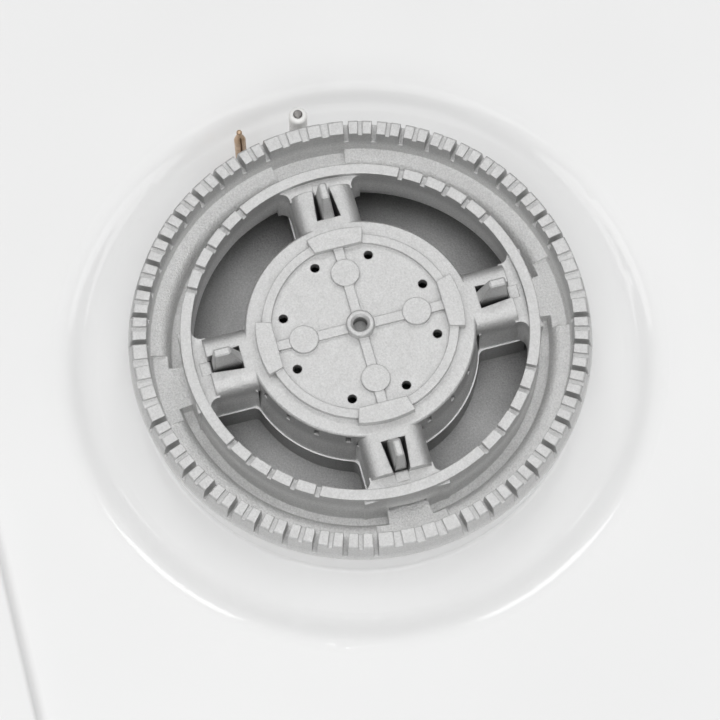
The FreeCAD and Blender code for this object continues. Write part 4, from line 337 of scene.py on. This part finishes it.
def flange_radius(turn):
    """Distance from the axis to a side of the hexagon."""
    side = (turn + math.pi / 6) % (math.pi / 3) - math.pi / 6
    return flange_flats / 2 / math.cos(side)


def thread_radius(turn, y):
    """Distance from the axis to the helical thread."""
    wave = ((y - thread_start) / thread_pitch - turn / (2 * math.pi)) % 1.0
    cut = min(1.0, max(0.0, flank_slope * abs(wave - 0.5) - crest_share))
    chamfer = max(0.0, y - inlet_high.y + end_chamfer)
    return min(crest_radius - thread_depth * cut, crest_radius - chamfer)


def inlet_row(shape, y, radius_at):
    """One closed row of points round the axis."""
    row = []
    for column in range(columns):
        turn = 2 * math.pi * column / columns
        radius = radius_at(turn)
        x = inlet_x + radius * math.cos(turn)
        z = inlet_z + radius * math.sin(turn)
        row.append(shape.verts.new((x, y, z)))
    return row


shape = bmesh.new()
rows = [inlet_row(shape, inlet_low.y, lambda turn: stub_radius),
        inlet_row(shape, flange_start, lambda turn: stub_radius),
        inlet_row(shape, flange_start, flange_radius),
        inlet_row(shape, flange_end, flange_radius),
        inlet_row(shape, flange_end, lambda turn: shank_radius),
        inlet_row(shape, thread_start, lambda turn: shank_radius)]
for step in range(thread_rows + 1):
    y = thread_start + (inlet_high.y - thread_start) * step / thread_rows
    rows.append(inlet_row(shape, y, lambda turn: thread_radius(turn, y)))
rows.append(inlet_row(shape, inlet_high.y, lambda turn: inlet_bore))
rows.append(inlet_row(shape, inlet_low.y, lambda turn: inlet_bore))
for before, after in zip(rows, rows[1:] + rows[:1]):
    for column in range(columns):
        beside = (column + 1) % columns
        shape.faces.new([before[column], before[beside], after[beside], after[column]])
bmesh.ops.recalc_face_normals(shape, faces=shape.faces)
inlet_mesh = bpy.data.meshes.new("threaded_inlet")
shape.to_mesh(inlet_mesh)
shape.free()
inlet_mesh.materials.append(brass)
threaded_inlet = bpy.data.objects.new("threaded_inlet", inlet_mesh)
bpy.context.scene.collection.objects.link(threaded_inlet)
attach(threaded_inlet, "hob")
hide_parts("gas_inlet")


# Gas pipes and the thermocouple's capillary: drawn copper, bent cold and left bare.
# The metal has darkened unevenly where hands and flux have touched it.
copper, tree, shader, place = new_finish("drawn_copper")
tint(tree, shader, noise(tree, place, 60.0), (0.46, 0.22, 0.12), (0.72, 0.40, 0.26))
tree.links.new(spread(tree, noise(tree, place, 200.0), 0.25, 0.45), shader.inputs["Roughness"])
shader.inputs["Metallic"].default_value = 1.0
bump(tree, shader, noise(tree, place, 1500.0), 0.00002, 0.4)
dress(copper, "supply_pipe", "gas_pipe", "thermocouple_lead")


# Spark generator, switch and battery holder: moulded black plastic with a fine spark-eroded grain.
# The battery is an unmarked cell in a plain wrapper.
moulding, tree, shader, place = new_finish("black_moulding")
tint(tree, shader, noise(tree, place, 80.0), (0.018, 0.018, 0.020), (0.030, 0.030, 0.033))
tree.links.new(spread(tree, noise(tree, place, 260.0), 0.42, 0.58), shader.inputs["Roughness"])
bump(tree, shader, noise(tree, place, 3000.0, 6.0), 0.00004, 0.5, 0.0005)
dress(moulding, "ignition_switch", "switch_plunger", "spark_generator", "battery_tube", "battery_cap")

wrapper, tree, shader, place = new_finish("cell_wrapper")
tint(tree, shader, noise(tree, place, 90.0), (0.035, 0.045, 0.060), (0.050, 0.062, 0.080))
tree.links.new(spread(tree, noise(tree, place, 400.0), 0.18, 0.30), shader.inputs["Roughness"])
bump(tree, shader, noise(tree, place, 1200.0), 0.00002, 0.3)
dress(wrapper, "battery_cell")

sleeve, tree, shader, place = new_finish("lead_sleeve")
tint(tree, shader, noise(tree, place, 150.0), (0.50, 0.48, 0.43), (0.60, 0.58, 0.53))
tree.links.new(spread(tree, noise(tree, place, 500.0), 0.45, 0.60), shader.inputs["Roughness"])
bump(tree, shader, noise(tree, place, 2000.0), 0.00004, 0.4)
dress(sleeve, "ignition_lead")


# Top plate: pressed steel with a fired white enamel, which flows out smooth and glossy.
# The glaze keeps a very slight waviness and rounds over every edge of the pressing.
enamel, tree, shader, place = new_finish("white_enamel")
tint(tree, shader, noise(tree, place, 9.0, 2.0), (0.800, 0.801, 0.800), (0.825, 0.826, 0.825))
tree.links.new(spread(tree, noise(tree, place, 40.0), 0.05, 0.08), shader.inputs["Roughness"])
shader.inputs["IOR"].default_value = 1.5
bump(tree, shader, noise(tree, place, 70.0, 2.0), 0.00002, 0.5, 0.0008)
dress(enamel, "top_plate")


# Burner cup: a die-cast aluminium dish under the plate, duller and darker than the head, with painted shade
# in its hollows.
# Its floor shows through the windows of the head, and its rim is faced where the head sits, with a painted
# highlight on that face.
cup_cast, tree, shader, place = new_finish("cup_casting")
cloud = noise(tree, place, 60.0)
height = tree.nodes.new("ShaderNodeSeparateXYZ")
tree.links.new(place, height.inputs["Vector"])
rim_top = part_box("burner_cup")[1].z
# The thin band at the rim's top, where the head sits, is painted much lighter as a painted highlight.
seat_highlight_start = rim_top - 0.0004
seat_highlight_end = rim_top - 0.0002
seat_highlight_mask = spread(tree, height.outputs["Z"], 0.0, 1.0, seat_highlight_start, seat_highlight_end)
grain = noise(tree, place, 1900.0, 3.0, 0.7)
skin = ramp(tree, grain, [(0.3, (0.42, 0.42, 0.42)), (0.7, (0.60, 0.60, 0.60))])
bright = ramp(tree, grain, [(0.3, (0.86, 0.86, 0.86)), (0.7, (0.92, 0.92, 0.92))])
# The skin gets painted shade in its hollows, and the seat gets the painted highlight.
tree.links.new(blended(tree, seat_highlight_mask, painted_hollow_shade(tree, skin, 0.02, 0.3), bright), shader.inputs["Base Color"])
tree.links.new(spread(tree, cloud, 0.46, 0.58), shader.inputs["Roughness"])
shader.inputs["Metallic"].default_value = 0.8
bump(tree, shader, noise(tree, place, 1700.0, 5.0, 0.65), 0.00016, 0.6, 0.00025)
dress(cup_cast, "burner_cup", "tap_body")


# Burner head: one aluminium die casting, bead-blasted to an even satin grey and lifted off for cleaning.
# Its corners are rounded by the die and the blasting. Its tops are finer than its sandy hollows and a little
# darker in colour, and inside the ring its hollows carry painted shade.
head_cast, tree, shader, place = new_finish("head_casting")
teeth_top = 0.0945
burner_y = 0.0205
window_edge = 0.0485
channel_edge = 0.0505
height = tree.nodes.new("ShaderNodeSeparateXYZ")
tree.links.new(place, height.inputs["Vector"])
grain = noise(tree, place, 1900.0, 3.0, 0.7)
# The top few millimetres of the head are a darker grey than the faces below them.
lower_tone = ramp(tree, grain, [(0.3, (0.66, 0.66, 0.656)), (0.7, (0.88, 0.88, 0.876))])
upper_tone = ramp(tree, grain, [(0.3, (0.54, 0.54, 0.537)), (0.7, (0.68, 0.68, 0.677))])
tops = spread(tree, height.outputs["Z"], 0.0, 1.0, teeth_top - 0.007, teeth_top - 0.004)
casting = blended(tree, tops, lower_tone, upper_tone)
plan = tree.nodes.new("ShaderNodeMapping")
plan.inputs["Location"].default_value = (0.0, -burner_y, 0.0)
plan.inputs["Scale"].default_value = (1.0, 1.0, 0.0)
tree.links.new(place, plan.inputs["Vector"])
from_axis = tree.nodes.new("ShaderNodeVectorMath")
from_axis.operation = "LENGTH"
tree.links.new(plan.outputs["Vector"], from_axis.inputs[0])
# Inside the ring the windows and the hub get painted shade in their hollows; outside it the casting keeps its
# plain colour.
outside = spread(tree, from_axis.outputs["Value"], 0.0, 1.0, window_edge, channel_edge)
tree.links.new(blended(tree, outside, painted_hollow_shade(tree, casting, 0.015, 0.34), casting),
               shader.inputs["Base Color"])
tree.links.new(spread(tree, noise(tree, place, 400.0), 0.46, 0.58), shader.inputs["Roughness"])
shader.inputs["Metallic"].default_value = 0.9
relief = bump(tree, shader, noise(tree, place, 1500.0, 6.0, 0.65), 0.0004, 0.6, 0.0005)
tree.links.new(spread(tree, height.outputs["Z"], 0.9, 0.4, teeth_top - 0.008, teeth_top - 0.002),
               relief.inputs["Strength"])
dress(head_cast, "burner_head")


# Cap prongs: four upright tapered fins, one in the well of each arm, that centre the ring cap when it lies
# on the teeth. They are cast in one with the head, so they lift off with it, and their corners are blunt.
# Each end has its level, its near and far distance from the burner's axis and its half width.
prong_top = 0.1035
prong_foot = 0.0880
heel_top = 0.09295
prong_ends = ((prong_foot, 0.0317, 0.0435, 0.00235), (prong_top, 0.0377, 0.0424, 0.00115))
heel_ends = ((prong_foot, 0.0436, 0.0470, 0.00225), (heel_top, 0.0434, 0.0470, 0.00225))
prong_round = 0.0003
shape = bmesh.new()
for quarter in range(4):
    turned = Matrix.Translation((0.0, burner_y, 0.0)) @ Matrix.Rotation(quarter * math.pi / 2, 4, "Z")
    for ends in (prong_ends, heel_ends):
        foot, top = [[shape.verts.new(turned @ Vector(corner)) for corner in
                      ((near, -half, z), (far, -half, z), (far, half, z), (near, half, z))]
                     for z, near, far, half in ends]
        shape.faces.new(foot[::-1])
        shape.faces.new(top)
        for first in range(4):
            second = (first + 1) % 4
            shape.faces.new([foot[first], foot[second], top[second], top[first]])
bmesh.ops.bevel(shape, geom=shape.edges[:], offset=prong_round, segments=2, affect="EDGES")
bmesh.ops.recalc_face_normals(shape, faces=shape.faces)
prong_mesh = bpy.data.meshes.new("cap_prongs")
shape.to_mesh(prong_mesh)
shape.free()
prong_mesh.materials.append(head_cast)
cap_prongs = bpy.data.objects.new("cap_prongs", prong_mesh)
bpy.context.scene.collection.objects.link(cap_prongs)
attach(cap_prongs, "head")


# Gasket: a ring of compressed fibre sheet, hidden between the plate and the cup.
# It is cut from sheet, with a coarse matted surface.
fibre, tree, shader, place = new_finish("gasket_fibre")
tint(tree, shader, noise(tree, place, 700.0, 6.0), (0.08, 0.078, 0.07), (0.16, 0.155, 0.14))
tree.links.new(spread(tree, noise(tree, place, 300.0), 0.80, 0.92), shader.inputs["Roughness"])
bump(tree, shader, noise(tree, place, 1800.0, 6.0), 0.0001, 0.6)
dress(fibre, "cup_gasket")


# Spark electrode: a white glazed ceramic tube round a steel pin that stands just above it.
# Heat has browned the pin's end.
ceramic, tree, shader, place = new_finish("electrode_ceramic")
tint(tree, shader, noise(tree, place, 300.0), (0.76, 0.755, 0.74), (0.83, 0.825, 0.81))
tree.links.new(spread(tree, noise(tree, place, 800.0), 0.25, 0.38), shader.inputs["Roughness"])
bump(tree, shader, noise(tree, place, 2500.0), 0.00003, 0.4, 0.0003)
dress(ceramic, "spark_electrode")

pin_steel, tree, shader, place = new_finish("pin_steel")
tint(tree, shader, noise(tree, place, 500.0), (0.20, 0.19, 0.185), (0.34, 0.33, 0.32))
tree.links.new(spread(tree, noise(tree, place, 900.0), 0.32, 0.48), shader.inputs["Roughness"])
shader.inputs["Metallic"].default_value = 1.0
bump(tree, shader, noise(tree, place, 2500.0), 0.00003, 0.5, 0.0002)
dress(pin_steel, "electrode_pin", "valve_stem", "spindle_spring")


# Thermocouple: a thin copper-alloy probe with a slit side and a small welded ball at its tip.
# The heat of the flame has tinted it brown.
tinted, tree, shader, place = new_finish("probe_bronze")
tint(tree, shader, noise(tree, place, 420.0), (0.46, 0.31, 0.20), (0.70, 0.53, 0.38))
tree.links.new(spread(tree, noise(tree, place, 900.0), 0.30, 0.48), shader.inputs["Roughness"])
shader.inputs["Metallic"].default_value = 0.85
bump(tree, shader, noise(tree, place, 2500.0), 0.00003, 0.5, 0.0002)
dress(tinted, "thermocouple")


# Knob: a satin white thermoset moulding with a bar grip, pushed on the spindle's flat.
# Its face has a fine even grain from the mould.
thermoset, tree, shader, place = new_finish("knob_thermoset")
tint(tree, shader, noise(tree, place, 50.0), (0.74, 0.74, 0.735), (0.79, 0.79, 0.785))
tree.links.new(spread(tree, noise(tree, place, 300.0), 0.28, 0.38), shader.inputs["Roughness"])
bump(tree, shader, noise(tree, place, 2600.0, 5.0), 0.00003, 0.5, 0.0004)
dress(thermoset, "knob")

knob_low, knob_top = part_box("knob")
knob_y = (knob_low.y + knob_top.y) / 2
pointer_half = 0.0007
pointer_start = knob_y + 0.0030
pointer_end = knob_y + 0.0150
pointer_sunk = 0.0004
pointer_proud = 0.00012
shape = bmesh.new()
bmesh.ops.create_cube(shape, size=1.0)
bmesh.ops.scale(shape, verts=shape.verts,
                vec=(2 * pointer_half, pointer_end - pointer_start, pointer_sunk + pointer_proud))
pointer_middle = (0.0, (pointer_start + pointer_end) / 2, knob_top.z + (pointer_proud - pointer_sunk) / 2)
bmesh.ops.translate(shape, verts=shape.verts, vec=pointer_middle)
pointer_mesh = bpy.data.meshes.new("knob_pointer")
shape.to_mesh(pointer_mesh)
shape.free()
knob_pointer = bpy.data.objects.new("knob_pointer", pointer_mesh)
bpy.context.scene.collection.objects.link(knob_pointer)
pointer_paint, tree, shader, place = new_finish("pointer_paint")
tint(tree, shader, noise(tree, place, 400.0), (0.030, 0.031, 0.033), (0.045, 0.046, 0.048))
tree.links.new(spread(tree, noise(tree, place, 900.0), 0.35, 0.5), shader.inputs["Roughness"])
bump(tree, shader, noise(tree, place, 2600.0, 5.0), 0.00002, 0.5)
pointer_mesh.materials.append(pointer_paint)
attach(knob_pointer, "knob")


# Printed marks: fired grey spots round the knob, a full one for off, a large ring for the full flame
# and a small ring for the low flame. They lie on the enamel of the front strip as a thin print.
strip_top = 0.078
print_low = strip_top - 0.00002
print_high = strip_top + 0.00005
mark_circle = 0.029
mark_steps = 32
mark_kinds = ((0.0, 0.0017, 0.0), (90.0, 0.0034, 0.0026), (210.0, 0.0022, 0.0014))


def mark_edge(shape, centre, radius, z):
    """A closed circle of points round the middle of a mark."""
    turns = [2 * math.pi * step / mark_steps for step in range(mark_steps)]
    return [shape.verts.new((centre.x + radius * math.cos(turn), centre.y + radius * math.sin(turn), z))
            for turn in turns]


def bridge(shape, first, second):
    """Join two circles of points with faces."""
    for step in range(mark_steps):
        after = (step + 1) % mark_steps
        shape.faces.new([first[step], first[after], second[after], second[step]])


shape = bmesh.new()
for angle, outer, inner in mark_kinds:
    lean = math.radians(angle)
    centre = Vector((-math.sin(lean) * mark_circle, knob_y + math.cos(lean) * mark_circle))
    foot = mark_edge(shape, centre, outer, print_low)
    face = mark_edge(shape, centre, outer, print_high)
    bridge(shape, foot, face)
    if inner:
        inner_foot = mark_edge(shape, centre, inner, print_low)
        inner_face = mark_edge(shape, centre, inner, print_high)
        bridge(shape, face, inner_face)
        bridge(shape, inner_face, inner_foot)
        bridge(shape, inner_foot, foot)
    else:
        shape.faces.new(face)
        shape.faces.new(foot[::-1])
bmesh.ops.recalc_face_normals(shape, faces=shape.faces)
mark_mesh = bpy.data.meshes.new("tap_marks")
shape.to_mesh(mark_mesh)
shape.free()
tap_marks = bpy.data.objects.new("tap_marks", mark_mesh)
bpy.context.scene.collection.objects.link(tap_marks)
mark_print, tree, shader, place = new_finish("mark_print")
tint(tree, shader, noise(tree, place, 500.0), (0.10, 0.10, 0.105), (0.13, 0.13, 0.135))
tree.links.new(spread(tree, noise(tree, place, 700.0), 0.2, 0.3), shader.inputs["Roughness"])
bump(tree, shader, noise(tree, place, 1200.0), 0.00001, 0.4)
mark_mesh.materials.append(mark_print)
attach(tap_marks, "hob")


# Floor: a wide pale sheet under the hob, which is not part of it.
# It keeps the hob's soft shadow.
floor_half = 3.0
floor_corners = [(-floor_half, -floor_half, 0), (floor_half, -floor_half, 0),
                 (floor_half, floor_half, 0), (-floor_half, floor_half, 0)]
floor_mesh = bpy.data.meshes.new("floor")
floor_mesh.from_pydata(floor_corners, [], [(0, 1, 2, 3)])
floor = bpy.data.objects.new("floor", floor_mesh)
bpy.context.scene.collection.objects.link(floor)
floor_paper, tree, shader, place = new_finish("floor_paper")
tint(tree, shader, noise(tree, place, 3.0), (0.80, 0.80, 0.80), (0.82, 0.82, 0.82))
shader.inputs["Roughness"].default_value = 0.9
floor_mesh.materials.append(floor_paper)


# Light: a pale room, brightest overhead, with soft boxes at both sides, overhead and at the camera's side.
# Two soft boxes behind give the bright arcs in the dish, and a small lamp between them the glints.
world = bpy.data.worlds.new("studio")
bpy.context.scene.world = world
world.use_nodes = True
tree = world.node_tree
tree.nodes.clear()
sky = tree.nodes.new("ShaderNodeOutputWorld")
glow = tree.nodes.new("ShaderNodeBackground")
way = tree.nodes.new("ShaderNodeTexCoord")
split = tree.nodes.new("ShaderNodeSeparateXYZ")
tree.links.new(way.outputs["Generated"], split.inputs["Vector"])
sky_tones = [(0.0, (0.16, 0.16, 0.16)), (0.45, (0.24, 0.24, 0.24)), (0.75, (0.67, 0.67, 0.67)),
             (1.0, (0.87, 0.87, 0.87))]
tree.links.new(ramp(tree, split.outputs["Z"], sky_tones), glow.inputs["Color"])
backdrop = tree.nodes.new("ShaderNodeBackground")
backdrop.inputs["Color"].default_value = (0.86, 0.86, 0.86, 1.0)
seen = tree.nodes.new("ShaderNodeLightPath")
choice = tree.nodes.new("ShaderNodeMixShader")
tree.links.new(seen.outputs["Is Camera Ray"], choice.inputs["Fac"])
tree.links.new(glow.outputs["Background"], choice.inputs[1])
tree.links.new(backdrop.outputs["Background"], choice.inputs[2])
tree.links.new(choice.outputs["Shader"], sky.inputs["Surface"])

burner = Vector((0.0, burner_y, teeth_top))


def soft_box(name, direction, distance, width, height, watts):
    """A flat lamp that faces the burner."""
    lamp = bpy.data.lights.new(name, "AREA")
    lamp.shape = "RECTANGLE"
    lamp.size = width
    lamp.size_y = height
    lamp.energy = watts
    holder = bpy.data.objects.new(name, lamp)
    toward = Vector(direction).normalized()
    holder.location = burner + toward * distance
    holder.rotation_euler = toward.to_track_quat("Z", "Y").to_euler()
    bpy.context.scene.collection.objects.link(holder)


soft_box("right_arc", (-0.566, 0.369, 0.737), distance=2.4, width=0.42, height=0.70, watts=3.6)
soft_box("left_arc", (-0.675, -0.034, 0.737), distance=2.4, width=0.42, height=0.70, watts=3.6)
soft_box("glint", (-0.526, 0.142, 0.839), distance=2.4, width=0.04, height=0.08, watts=0.12)
soft_box("right_box", (0.184, 0.682, 0.707), distance=2.2, width=1.4, height=1.0, watts=7.0)
soft_box("left_box", (-0.184, -0.682, 0.707), distance=2.2, width=1.4, height=1.0, watts=7.0)
soft_box("top_box", (0.12, -0.03, 0.992), distance=2.0, width=1.0, height=1.0, watts=3.0)
soft_box("front_box", (0.74, -0.20, 0.64), distance=1.8, width=1.4, height=0.6, watts=9.0)


# Camera: above the burner on the right-hand side, as in the photograph.
# It looks down at about seventy degrees.
lens = bpy.data.cameras.new("photo_camera")
lens.lens = 143.65
lens.sensor_width = 36.0
lens.clip_start = 0.01
lens.clip_end = 20.0
camera = bpy.data.objects.new("photo_camera", lens)
viewpoint = Vector((0.2832, -0.0561, 0.8536))
forward = Vector((-0.3380, 0.0913, -0.9367)).normalized()
upward = Vector((-0.9043, 0.2442, 0.3501)).normalized()
sideways = forward.cross(upward).normalized()
upward = sideways.cross(forward)
turn = Matrix((sideways, upward, -forward)).transposed().to_4x4()
camera.matrix_world = Matrix.Translation(viewpoint) @ turn
bpy.context.scene.collection.objects.link(camera)
bpy.context.scene.camera = camera
bpy.context.scene.view_settings.view_transform = "Standard"
